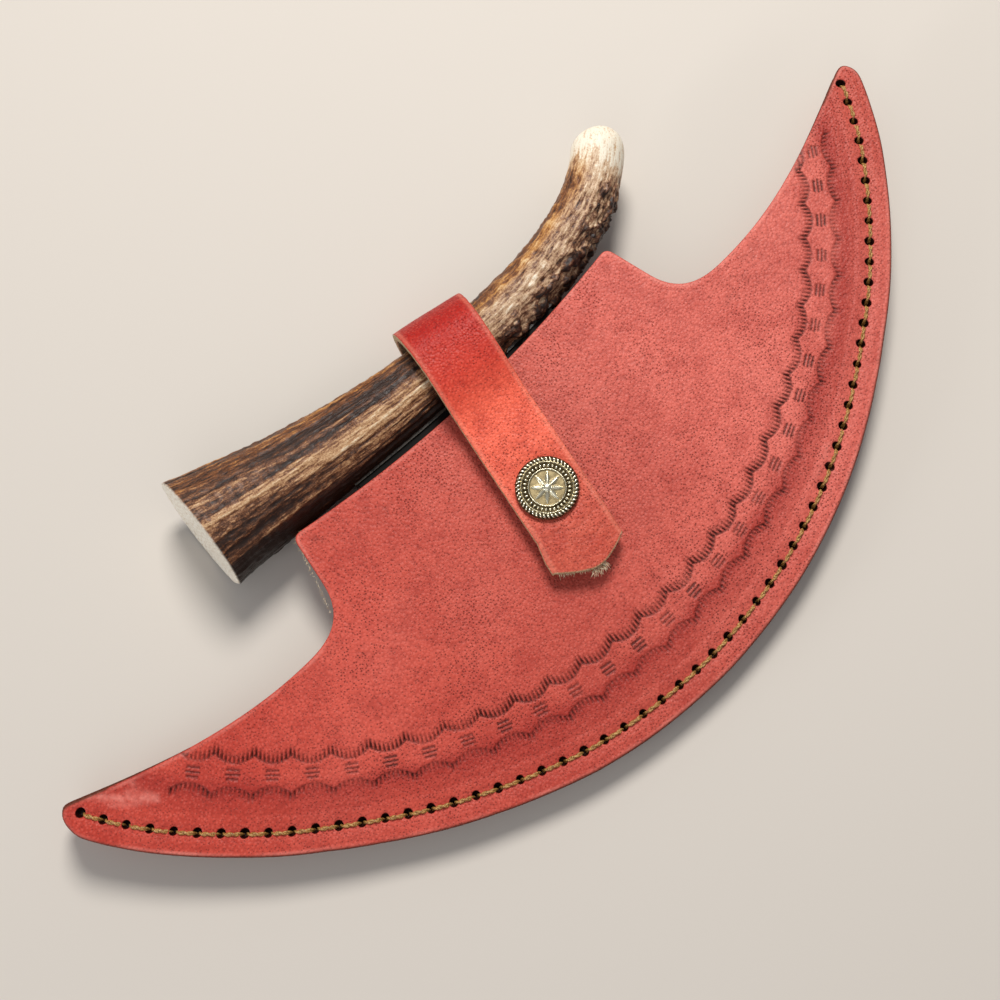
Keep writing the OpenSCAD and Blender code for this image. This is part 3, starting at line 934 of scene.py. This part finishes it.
high = high - np.where(on_face, 0.10 * (across / strap_half) ** 6, 0)
high += np.where(on_face, 0.10 * ripple(places, 11, 1.0) + 0.04 * ripple(places, 3, 8.0), 0)
high -= wrinkle + np.where(on_face & arm, 0.28 * hump(dent - 7.4, 1.3), 0)
across = across * (1 + 0.035 * hump(free - 62, 16))
across += (0.18 * ripple(places, 15, 2.0) + 0.07 * ripple(places, 1.3, 4.0)) * on_side
across -= 0.8 * held((-52 - along) / 8) * arm * held(-across / strap_half)
pull = held((-50 - along) / 12) * arm
short = strap_end_line(across) * pull
along_at = along + out_along * high + short
level_at = level + out_level * high - 0.35 * pull ** 2 * (across / strap_half) ** 2
strap_points = strap_to_sheath(across, along_at, level_at)

faces = joined(range(0, len(line) * around, around), around)
low = [wide + len(right_side) + wide - 1 - k for k in range(wide)]
for first, flip in ((0, False), ((len(line) - 1) * around, True)):
    cap = [(k, k + 1, low[k + 1], low[k]) for k in range(wide - 1)]
    cap += [tuple(range(wide - 1, low[-1] + 1)), tuple(range(low[0], around)) + (0,)]
    faces += [tuple(first + v for v in (f[::-1] if flip else f)) for f in cap]

# the strap's ramp along its length is painted light and shade: deep red where the loop's top faces
# away from the light, bright orange-red on the lit flat arm
strap_red = leather("strap_red_leather", (0.40, 0.014, 0.009), (0.84, 0.125, 0.070),
                    (0.96, 0.22, 0.13),
                    [(0.0, (0.52, 0.03, 0.02)), (0.46, (0.34, 0.004, 0.003)),
                     (0.52, (0.46, 0.010, 0.006)), (0.60, (0.66, 0.045, 0.025)),
                     (0.68, (0.95, 0.14, 0.075)), (0.80, (0.95, 0.16, 0.09)),
                     (0.90, (0.66, 0.12, 0.075)), (1.0, (0.60, 0.10, 0.06))],
                    band=False, by="along_strap", hold=0.9,
                    edge=[(0.30, (0.20, 0.11, 0.055)), (0.5, (0.46, 0.32, 0.17)),
                          (0.72, (0.74, 0.60, 0.40))])
strap = piece("strap", strap_points, faces, strap_red)
turned_out = bmesh.new()
turned_out.from_mesh(strap.data)
bmesh.ops.recalc_face_normals(turned_out, faces=turned_out.faces)
turned_out.to_mesh(strap.data)
turned_out.free()
under = np.tile(section[:, 1], len(line)) < 0.05 - half_t
ends = (free < 0.01) | (free > rows[-1] - 0.01)
# the strap's creases are darkened as painted shade
mark(strap, cut=np.maximum(on_cut | ends, 0.85 * under), pressed=np.clip(wrinkle * 1.6, 0, 0.55),
     rubbed=0.5 * rubbed_line, along_strap=free / rows[-1])
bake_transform(strap)
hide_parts("strap_tail", "strap_flap")


# ---------------------------------------------------------------- the press stud
# The stud's cap is a small antiqued-brass medal: a rope edge, a ring of beads and a plain
# faceted rosette on a dark ground. Its socket, stud and eyelet sit under the strap.
cap_low, cap_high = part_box("snap_cap")
cap_at = (cap_low + cap_high) / 2 / MM
cap_r = (cap_high.x - cap_low.x) / 2 / MM
cap_base = 13.2
rope_r = 0.905 * cap_r
bead_r = 0.70 * cap_r
petals = 8

antique_brass, tree, skin, at = finish("antique_brass", Metallic=1.0)
# nearly black in the hollows, rubbed pale gold on the high parts
patch = cloud(at, 0.9, 5.0, 0.65)
worn = plus(stored(tree, "high"), times(minus(patch, 0.5), 0.5))
cover(skin, ramp(worn, [(0.12, (0.035, 0.024, 0.010)), (0.42, (0.44, 0.35, 0.19)),
                        (0.9, (0.98, 0.92, 0.70))]),
      ramp(worn, [(0.2, 0.62), (0.8, 0.27)]), plus(cloud(at, 7.0, 3.0), patch), 0.35, 0.06)


def cap_height(r, turn):
    """Height of the medal's face above its base, and how rubbed it is."""
    share = r / cap_r
    field = 0.95
    rim = np.sqrt(held(1 - ((share - 0.905) / 0.095) ** 2))
    height = np.where(share > 0.81, 0.55 + 0.95 * rim, field)
    rubbed = np.where(share > 0.81, 0.15, 0.34)
    for at, width, rise in ((0.815, 0.020, 0.55), (0.585, 0.022, 0.50)):
        wall = hump(share - at, width)
        height = np.maximum(height, field + rise * wall - 0.02)
        rubbed = np.maximum(rubbed, wall)
    gutter = (share > 0.61) & (share < 0.79)
    rubbed = np.where(gutter, 0.14, rubbed)
    fold = abs((turn / (2 * math.pi) * petals) % 1 - 0.5) * 2
    reach = 0.23 + 0.29 * fold ** 1.25
    inside = held((reach - share) / 0.05)
    facet = (0.62 - 0.55 * share / reach) * (0.35 + 0.65 * fold)
    height = height + inside * (0.16 + held(facet))
    edge = hump(reach - share - 0.02, 0.028) * (share < 0.55)
    rubbed = np.maximum(rubbed, inside * (0.45 + 0.5 * fold))
    rubbed = np.maximum(rubbed, edge)
    boss = share < 0.13
    height = np.where(boss, field + 0.62 * np.sqrt(held(1 - (share / 0.14) ** 2)) + 0.12,
                      height)
    return height, np.where(boss, 0.95, rubbed)


spokes = 160
ring_shares = np.concatenate([np.linspace(0.015, 0.62, 44), np.linspace(0.64, 0.79, 6),
                              np.linspace(0.80, 0.835, 6), np.linspace(0.85, 1.0, 12)])
r_grid, turn_grid = (a.ravel() for a in np.meshgrid(ring_shares * cap_r,
                                                    np.linspace(0, 2 * math.pi, spokes,
                                                                endpoint=False), indexing="ij"))
height, rubbed = cap_height(r_grid, turn_grid)
rings = [np.column_stack([r_grid * np.cos(turn_grid), r_grid * np.sin(turn_grid),
                          cap_base + height])]
skirt = ((1.0, 0.30), (0.97, 0.08), (0.90, 0.0), (0.5, 0.0))
circle = turn_grid[:spokes]
for share, rise in skirt:
    rings.append(np.column_stack([share * cap_r * np.cos(circle), share * cap_r * np.sin(circle),
                                  np.full(spokes, cap_base + rise)]))
cap_points = np.vstack(rings + [[[0, 0, cap_base + 1.65], [0, 0, cap_base]]])
cap_points[:, :2] += (cap_at.x, cap_at.y)
ring_total = len(ring_shares) + len(skirt)
top_point, low_point = ring_total * spokes, ring_total * spokes + 1
faces = joined(range(0, ring_total * spokes, spokes), spokes, True)
faces += [(top_point, j, (j + 1) % spokes) for j in range(spokes)]
last = (ring_total - 1) * spokes
faces += [(low_point, last + (j + 1) % spokes, last + j) for j in range(spokes)]
snap_cap = piece("snap_cap_medal", cap_points, faces, antique_brass)
mark(snap_cap, high=np.concatenate([rubbed, np.full(len(skirt) * spokes, 0.3), [0.9, 0.1]]))
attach(snap_cap, "strap")
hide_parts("snap_cap")


def bead_ring_tree(brass):
    """A node tree that sets beads in a ring, each stretched and turned by the same amounts."""
    tree, given = new_tree("bead_ring", {"Beads": 30, "Ring radius": 0.005, "Centre": (0, 0, 0),
                                         "Bead size": (1, 1, 1), "Slant": 0.0})
    ring = wire(tree, "GeometryNodeMeshCircle", {"Vertices": given["Beads"],
                                                 "Radius": given["Ring radius"]})
    bead = wire(tree, "GeometryNodeMeshUVSphere", {"Segments": 8, "Rings": 6, "Radius": 1.0})
    index = wire(tree, "GeometryNodeInputIndex")
    turn = times(maths("DIVIDE", index, given["Beads"]), 2 * math.pi)
    spin = wire(tree, "ShaderNodeCombineXYZ", {2: plus(turn, given["Slant"])})
    laid = laid_on(ring, bead, spin, given["Bead size"])
    moved = wire(tree, "GeometryNodeSetPosition", {"Geometry": laid, "Offset": given["Centre"]})
    return end_tree(moved, brass)


beads = bead_ring_tree(antique_brass)
bead_z = cap_base + 0.95
for name, count, ring_r, size, slant in (
        ("snap_rope_edge", 46, rope_r, (0.80, 0.40, 0.62), math.radians(38)),
        ("snap_bead_ring", 34, bead_r, (0.50, 0.36, 0.42), 0.0)):
    ring = grown(name, beads, beads=count, ring_radius=ring_r * MM,
                 centre=(cap_at.x * MM, cap_at.y * MM, bead_z * MM),
                 bead_size=tuple(s * MM for s in size), slant=slant)
    z = np.array([v.co.z for v in ring.data.vertices]) / MM
    mark(ring, high=held((z - z.min() - 0.35) / (z.max() - z.min() - 0.35)))
    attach(ring, "strap")


def dress(node_name, material):
    """Gives a kept CAD node its finish."""
    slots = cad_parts[node_name].data.materials
    slots.clear()
    slots.append(material)


plain_brass, tree, skin, at = finish("plain_brass", Metallic=1.0)
tarnish = cloud(at, 0.7, 5.0, 0.6)
cover(skin, ramp(tarnish, [(0.34, (0.15, 0.095, 0.035)), (0.52, (0.50, 0.35, 0.14)),
                           (0.72, (0.78, 0.62, 0.32))]),
      ramp(tarnish, [(0.3, 0.55), (0.7, 0.28)]), cloud(at, 6.0, 4.0), 0.3, 0.05)
for name in ("snap_socket", "snap_stud", "snap_eyelet", "rivet_caps", "rivet_posts"):
    dress(name, plain_brass)


# ---------------------------------------------------------------- the blade
# The crescent blade is satin-ground steel with a bevel along its curved edge; near the tang it
# is painted nearly black, as painted shade in the shadowed gap between the handle and the
# sheath. A brass pin and resin hold the tang in the handle.
ground_steel, tree, skin, at = finish("ground_steel", Metallic=1.0)
lines = cloud(vectors("MULTIPLY", at, (0.12, 6.0, 1.0)), 0.9, 4.0, 0.6)
stains = cloud(at, 0.05, 5.0, 0.6)
steel = ramp(stains, [(0.35, (0.36, 0.36, 0.37)), (0.65, (0.62, 0.62, 0.63))])
steel = tint(ramp(lines, [(0.4, 0.0), (0.7, 0.25)]), steel, (0.78, 0.78, 0.79))
up_blade = node(tree, "ShaderNodeSeparateXYZ", {0: at}).outputs[1]
# painted shade: nearly black towards the tang, where the blade shows in the shadowed gap under the
# handle
painted_gap_shade_line = plus(up_blade, times(cloud(at, 0.12, 3.0), 6.0))
painted_gap_shade = maths("DIVIDE", minus(painted_gap_shade_line, 46.0), 5.0, clamp=True)
dull = maths("MAXIMUM", ramp(lines, [(0.3, 0.24), (0.7, 0.42)]), times(painted_gap_shade, 0.65))
cover(skin, tint(painted_gap_shade, steel, (0.018, 0.017, 0.016)), dull, lines, 0.25, 0.04)
dress("blade", ground_steel)
dress("handle_pin", plain_brass)

resin, tree, skin, at = finish("dark_resin")
flecks = cloud(at, 1.6, 4.0)
cover(skin, ramp(flecks, [(0.35, (0.015, 0.011, 0.008)), (0.65, (0.06, 0.045, 0.03))]),
      ramp(flecks, [(0.35, 0.25), (0.65, 0.5)]))
dress("tang_bedding", resin)


# ---------------------------------------------------------------- the antler handle
# One length of stag antler, sawn off at the butt and left round at the tip. Long dark
# furrows run from the butt to the strap, black pearling follows along the side next to
# the sheath, and the tip is polished down to cream.
antler_rows, antler_round = 440, 168
butt_r, tip_r = 15.5, 7.0
butt_flat = 0.18
saw_lean_up, saw_lean_side = 0.17, -0.14
spine_corners = ((-69, 76.5), (-18, 64.5), (56, 54), (76, 83.2))

share = np.concatenate([np.linspace(0, 0.93, antler_rows - 36),
                        0.93 + 0.07 * np.sin(np.linspace(0, math.pi / 2, 37)[1:])])
u = 1 - share
spine = sum(w[:, None] * np.array(c) for w, c in zip(
    (u ** 3, 3 * u * u * share, 3 * u * share ** 2, share ** 3), spine_corners))
heading = np.gradient(spine, share, axis=0)
heading /= np.linalg.norm(heading, axis=1)[:, None]
aside = np.column_stack([-heading[:, 1], heading[:, 0]])
travelled = np.concatenate([[0], np.cumsum(np.linalg.norm(np.diff(spine, axis=0), axis=1))])
tip_share = held((share - 0.93) / 0.07)
girth = (tip_r + (butt_r - tip_r) * (1 - share) ** 3.3) * np.sqrt(1 - tip_share ** 2.3)
flat = 1 - butt_flat * (1 - share) ** 2

bare = np.linspace(0, 2 * math.pi, antler_round, endpoint=False)
s_grid = np.repeat(travelled, antler_round)
t_grid = np.repeat(share, antler_round)
girth_grid = np.repeat(girth, antler_round)
a_grid = np.tile(bare, antler_rows)
ca, sa = np.cos(a_grid), np.sin(a_grid)


def felt(scale_long, scale_round, seed, twist=0.0, octaves=3):
    """Noise from about -1 to 1 in a frame that follows the antler."""
    turn = a_grid + twist * s_grid
    x, y, z = s_grid * scale_long, np.cos(turn) * 10 * scale_round, np.sin(turn) * 10 * scale_round
    return np.array([noise.fractal(Vector((p, q, r + seed)), 0.9, 2.1, octaves)
                     for p, q, r in zip(x, y, z)])


def band_of(value, low, high):
    """Rises smoothly from 0 at low to 1 at high."""
    t = held((value - low) / (high - low))
    return t * t * (3 - 2 * t)


streaks = felt(0.012, 0.55, 3.1, 0.002)
fine_streaks = felt(0.03, 1.5, 9.7, 0.002)
knobs = felt(0.24, 0.30, 21.3)
small_knobs = felt(0.55, 0.62, 33.9)
drift = felt(0.03, 0.12, 47.5)

# angle 0 faces away from the sheath, 90 degrees is the front, 180 faces the sheath
toward = np.degrees(a_grid)
furrowed = 1 - band_of(t_grid, 0.42, 0.56)
pearled = band_of(t_grid, 0.46, 0.56) * (1 - band_of(t_grid, 0.80, 0.90))
pearl_side = band_of(toward + 20 * drift, 98, 132) * (1 - band_of(toward, 262, 300))
far_side = 1 - band_of(toward + 10 * drift, 30, 60)
far_side = np.maximum(far_side, band_of(toward, 300, 335))
# painted shade: the underside is made darker
painted_under_shade = band_of(toward, 190, 215) * (1 - band_of(toward, 300, 330))
creamy = band_of(t_grid + 0.03 * drift + 0.02 * small_knobs, 0.84, 0.93)

height = furrowed * (0.42 * streaks + 0.30 * fine_streaks + 0.12 * small_knobs)
height += pearled * pearl_side * (1.15 * band_of(knobs, -0.15, 0.35) + 0.5 * small_knobs)
height += pearled * (1 - pearl_side) * (0.34 * knobs + 0.16 * small_knobs)
height += (1 - creamy) * 0.08 * small_knobs
height *= np.sqrt(held(1 - tip_share.repeat(antler_round) ** 3))

ridge_line = hump(toward - 106 - 10 * drift, 20) * band_of(t_grid, 0.02, 0.30)
left_tone = 0.33 + 0.36 * streaks + 0.24 * fine_streaks + 0.34 * ridge_line
# painted shade: the band from 128 to 156 degrees, on the side that faces the sheath, is made darker
left_tone -= 0.03 * far_side + 0.42 * band_of(toward, 128, 156)
right_tone = 0.55 + 0.20 * knobs + 0.12 * small_knobs - 0.22 * far_side
right_tone += 0.10 * hump(toward - 96, 22)
right_tone -= pearled * pearl_side * (0.46 * band_of(knobs, -0.12, 0.16) - 0.06)
# the tone holds the antler's own colour together with the painted shade above
tone = furrowed * left_tone + (1 - furrowed) * right_tone - 0.30 * painted_under_shade
tone = tone * (1 - creamy) + creamy * (1.00 - 0.08 * band_of(small_knobs, 0.2, 0.6))
amber = (0.45 + 0.5 * band_of(drift + 0.5 * streaks, -0.3, 0.4)) * band_of(90 - toward, 0, 40)
amber = np.maximum(amber, np.maximum(0.45 * far_side, 0.38 * furrowed))
amber += 0.35 * hump(toward - 48 - 10 * drift, 15)
amber *= 1 - creamy

radius = girth_grid + height
off_side = radius * ca
off_up = radius * sa * np.repeat(flat, antler_round)
along = held(1 - s_grid / 30) ** 2 * (saw_lean_up * off_up + saw_lean_side * off_side)
rest = [np.repeat(v, antler_round) for v in (spine[:, 0], spine[:, 1], aside[:, 0], aside[:, 1],
                                              heading[:, 0], heading[:, 1])]
antler_points = np.column_stack([rest[0] + rest[2] * off_side + rest[4] * along,
                                 rest[1] + rest[3] * off_side + rest[5] * along,
                                 mid_z + off_up])
faces = joined(range(0, antler_rows * antler_round, antler_round), antler_round)

# the sawn butt: rings that run in to a slightly hollow middle
butt = antler_points[:antler_round]
heart = butt.mean(0)
sawn = [heart + (butt - heart) * k for k in (0.985, 0.93, 0.82, 0.66, 0.48, 0.30, 0.14)]
for k, row in enumerate(sawn):
    row[:, :2] += heading[0] * (0.12 * min(k, 3) - 0.20)
first = len(antler_points)
rings = [0] + [first + k * antler_round for k in range(len(sawn))]
heart_index = first + len(sawn) * antler_round
faces += joined(rings, antler_round, True)
faces += [(rings[-1] + j, heart_index, rings[-1] + (j + 1) % antler_round)
          for j in range(antler_round)]
last = (antler_rows - 1) * antler_round
tip_index = heart_index + 1
faces += [(last + j, last + (j + 1) % antler_round, tip_index) for j in range(antler_round)]
tip_end = antler_points[last:last + antler_round].mean(0)
extra = np.vstack(sawn + [[heart + [*heading[0] * 0.16, 0]], [tip_end]])
antler_points = np.vstack([antler_points, extra])

antler, tree, skin, at = finish("stag_antler", **{"Specular IOR Level": 0.34,
                                                  "Coat Weight": 0.06, "Coat Roughness": 0.2})
shade = stored(tree, "tone")
ways = stored(tree, "grain_way", "Vector")
threads = cloud(vectors("MULTIPLY", ways, (0.22, 1.5, 1.5)), 1.0, 5.0, 0.68)
grit = cloud(ways, 2.4, 4.0, 0.65)
mixed = plus(shade, plus(times(minus(threads, 0.5), 1.35), times(minus(grit, 0.5), 0.70)))
base = ramp(mixed, [(0.10, (0.012, 0.006, 0.004)), (0.30, (0.045, 0.018, 0.010)),
                    (0.46, (0.19, 0.080, 0.040)), (0.62, (0.48, 0.29, 0.165)),
                    (0.80, (0.72, 0.52, 0.34)), (0.98, (0.96, 0.88, 0.72))])
gold = ramp(mixed, [(0.14, (0.03, 0.010, 0.004)), (0.42, (0.20, 0.065, 0.018)),
                    (0.66, (0.56, 0.26, 0.07)), (0.95, (0.82, 0.60, 0.32))])
base = tint(stored(tree, "amber"), base, gold)
tan_spots = ramp(speckle(ways, 0.75), [(0.10, 0.75), (0.20, 0.0)])
on_tip = ramp(shade, [(0.92, 0.0), (1.0, 1.0)])
base = tint(times(tan_spots, on_tip), base, (0.70, 0.42, 0.14))
marrow = ramp(cloud(at, 1.3, 5.0, 0.7), [(0.34, (0.45, 0.30, 0.18)), (0.46, (0.84, 0.76, 0.62)),
                                         (0.62, (0.95, 0.91, 0.82))])
base = tint(stored(tree, "sawn"), base, marrow)
cover(skin, base, ramp(mixed, [(0.15, 0.30), (0.7, 0.46)]), plus(threads, times(grit, 0.5)),
      0.8, 0.32)

handle = piece("antler", antler_points, faces, antler)
rim_count = antler_rows * antler_round
added = len(antler_points) - rim_count
sawn_mark = np.zeros(len(antler_points))
sawn_mark[rim_count:-1] = 1
sawn_mark[:antler_round] = 0.5
mark(handle, sawn=sawn_mark, tone=np.concatenate([tone, np.full(added, 0.95)]),
     amber=np.concatenate([held(amber), np.zeros(added)]))
grain_way = handle.data.attributes.new("grain_way", "FLOAT_VECTOR", "POINT")
follow = np.column_stack([s_grid, girth_grid * ca, girth_grid * sa])
follow = np.vstack([follow, extra - heart])
grain_way.data.foreach_set("vector", follow.astype(np.float32).ravel())
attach(handle, "knife")
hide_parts("antler_handle")


# ---------------------------------------------------------------- the frayed edges
# Loose leather fibres stand out where the hide was cut and never dressed: a tuft under the
# strap's free end, and short ones along its cut and at the neck's left corner.
fray_finish, tree, skin, at = finish("loose_fibres", Roughness=0.8)
cover(skin, ramp(cloud(at, 1.2, 3.0), [(0.35, (0.42, 0.28, 0.15)), (0.65, (0.93, 0.82, 0.60))]))


def fray_tree(fibre):
    """A node tree that stands thin tapered fibres along a line, each at its own angle."""
    tree, given = new_tree("fray", {"Fibres": 30, "From": (0, 0, 0), "To": (0, 0, 0), "Seed": 1,
                                    "Length": 0.001, "Scatter": 0.0003, "Heading": 0.0})

    def strewn(low, high, more):
        return wire(tree, "FunctionNodeRandomValue",
                    {0: low, 1: high, "Seed": plus(given["Seed"], more)},
                    data_type="FLOAT_VECTOR")

    line = wire(tree, "GeometryNodeMeshLine", {"Count": given["Fibres"],
                                               "Start Location": given["From"],
                                               "Offset": given["To"]}, mode="END_POINTS")
    off = wire(tree, "ShaderNodeVectorMath",
               {0: strewn((-1, -1, -0.6), (1, 1, 0.6), 0.0), 3: given["Scatter"]},
               operation="SCALE")
    places = wire(tree, "GeometryNodeSetPosition", {"Geometry": line, "Offset": off})
    hair = wire(tree, "GeometryNodeMeshCone", {"Vertices": 4, "Radius Top": 0.000015,
                                               "Radius Bottom": 0.00009,
                                               "Depth": given["Length"]})
    heading = wire(tree, "ShaderNodeCombineXYZ", {2: given["Heading"]})
    aim = vectors("ADD", strewn((0.9, -0.5, -1.0), (2.1, 0.5, 1.0), 7.0), heading)
    stretch = strewn((0.7, 0.7, 0.35), (1.3, 1.3, 1.5), 13.0)
    return end_tree(laid_on(places, hair, aim, stretch), fibre, smooth=False)


fray = fray_tree(fray_finish)
strap_rows = ((64, (-1.6, -63.8), (1.8, -63.6), 0.0019, 0.0006),
              (110, (-8.9, -60.1), (-0.5, -63.8), 0.0009, 0.00025),
              (46, (1.0, -63.7), (8.9, -60.1), 0.0007, 0.00015))
neck_rows = ((30, (-53.6, 57.6), (-55.9, 49.5), 0.0008, 0.00020),
             (26, (-56.2, 48.5), (-59.4, 39.5), 0.0006, 0.00015),
             (10, (-53.2, 58.3), (-50.5, 58.9), 0.0006, 0.00015))


def tuft(name, heading, seed, count, start, end, length, scatter):
    """Loose fibres between two places, with their lengths in metres."""
    ends = {"from": tuple(v * MM for v in start), "to": tuple(v * MM for v in end)}
    return grown(name, fray, fibres=count, length=length, scatter=scatter, heading=heading,
                 seed=seed, **ends)


for k, (count, start, end, *rest) in enumerate(strap_rows):
    start, end = strap_to_sheath(*(np.array(v, float) for v in zip(start, end)),
                                 np.full(2, arm_z - 0.4))
    fibres = tuft("strap_fray_%d" % k, -strap_lean, 3 + k, count, start, end, *rest)
    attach(fibres, "strap")
for k, (count, start, end, *rest) in enumerate(neck_rows):
    under_face = (face_z - 0.7,)
    fibres = tuft("neck_fray_%d" % k, -1.3, 23 + k, count, start + under_face,
                  end + under_face, *rest)
    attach(fibres, "sheath")


# ---------------------------------------------------------------- the table and the light
# The knife rests on the handle's butt, the strap's loop and the curved edge of the
# sheath, so the table meets it along that plane. A soft light stands behind it, a weak
# one fills its shadows, and a low one from the left lights the sawn butt.
corners = np.vstack([[v.co[:] for v in o.data.vertices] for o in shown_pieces() if o.type == "MESH"])
middle = corners[:, :2].mean(0)
best = None
for tilt_x in np.linspace(-0.15, 0.15, 61):
    for tilt_y in np.linspace(-0.15, 0.15, 61):
        lift = (corners[:, 2] - corners[:, 0] * tilt_x - corners[:, 1] * tilt_y).min()
        height = lift + middle @ (tilt_x, tilt_y)
        if best is None or height > best[0]:
            best = (height, tilt_x, tilt_y, lift)
_, tilt_x, tilt_y, lift = best
reach = 3.0
table = bpy.data.meshes.new("table")
table.from_pydata([(x, y, lift + x * tilt_x + y * tilt_y)
                   for x, y in ((-reach, -reach), (reach, -reach), (reach, reach), (-reach, reach))],
                  [], [(0, 1, 2, 3)])
made, tree, skin, at = finish("table_pale", Roughness=0.8)
skin.inputs["Base Color"].default_value = (0.66, 0.61, 0.55, 1)
table.materials.append(made)
table = bpy.data.objects.new("table", table)
scene.collection.objects.link(table)


def soft_light(name, at, aim, size, power, colour):
    lamp = bpy.data.lights.new(name, "AREA")
    lamp.shape = "DISK"
    lamp.size = size
    lamp.energy = power
    lamp.color = colour
    obj = bpy.data.objects.new(name, lamp)
    scene.collection.objects.link(obj)
    way = Vector(at) - Vector(aim)
    obj.matrix_world = Matrix.Translation(at) @ way.to_track_quat("Z", "Y").to_matrix().to_4x4()


soft_light("key_light", (0.36, 0.46, 0.72), (0, 0.02, 0), 0.34, 7.6, (1.0, 0.97, 0.93))
soft_light("fill_light", (-0.7, -0.3, 0.9), (0, 0.02, 0), 0.9, 1.6, (0.95, 0.97, 1.0))
soft_light("side_light", (-0.95, 0.22, 0.22), (-0.06, 0.07, 0), 0.30, 2.6, (0.97, 0.98, 1.0))
scene.world = bpy.data.worlds.new("studio")
scene.world.use_nodes = True
sky = scene.world.node_tree.nodes["Background"].inputs
sky["Color"].default_value = (0.95, 0.96, 1, 1)
sky["Strength"].default_value = 0.27
scene.view_settings.view_transform = "Standard"
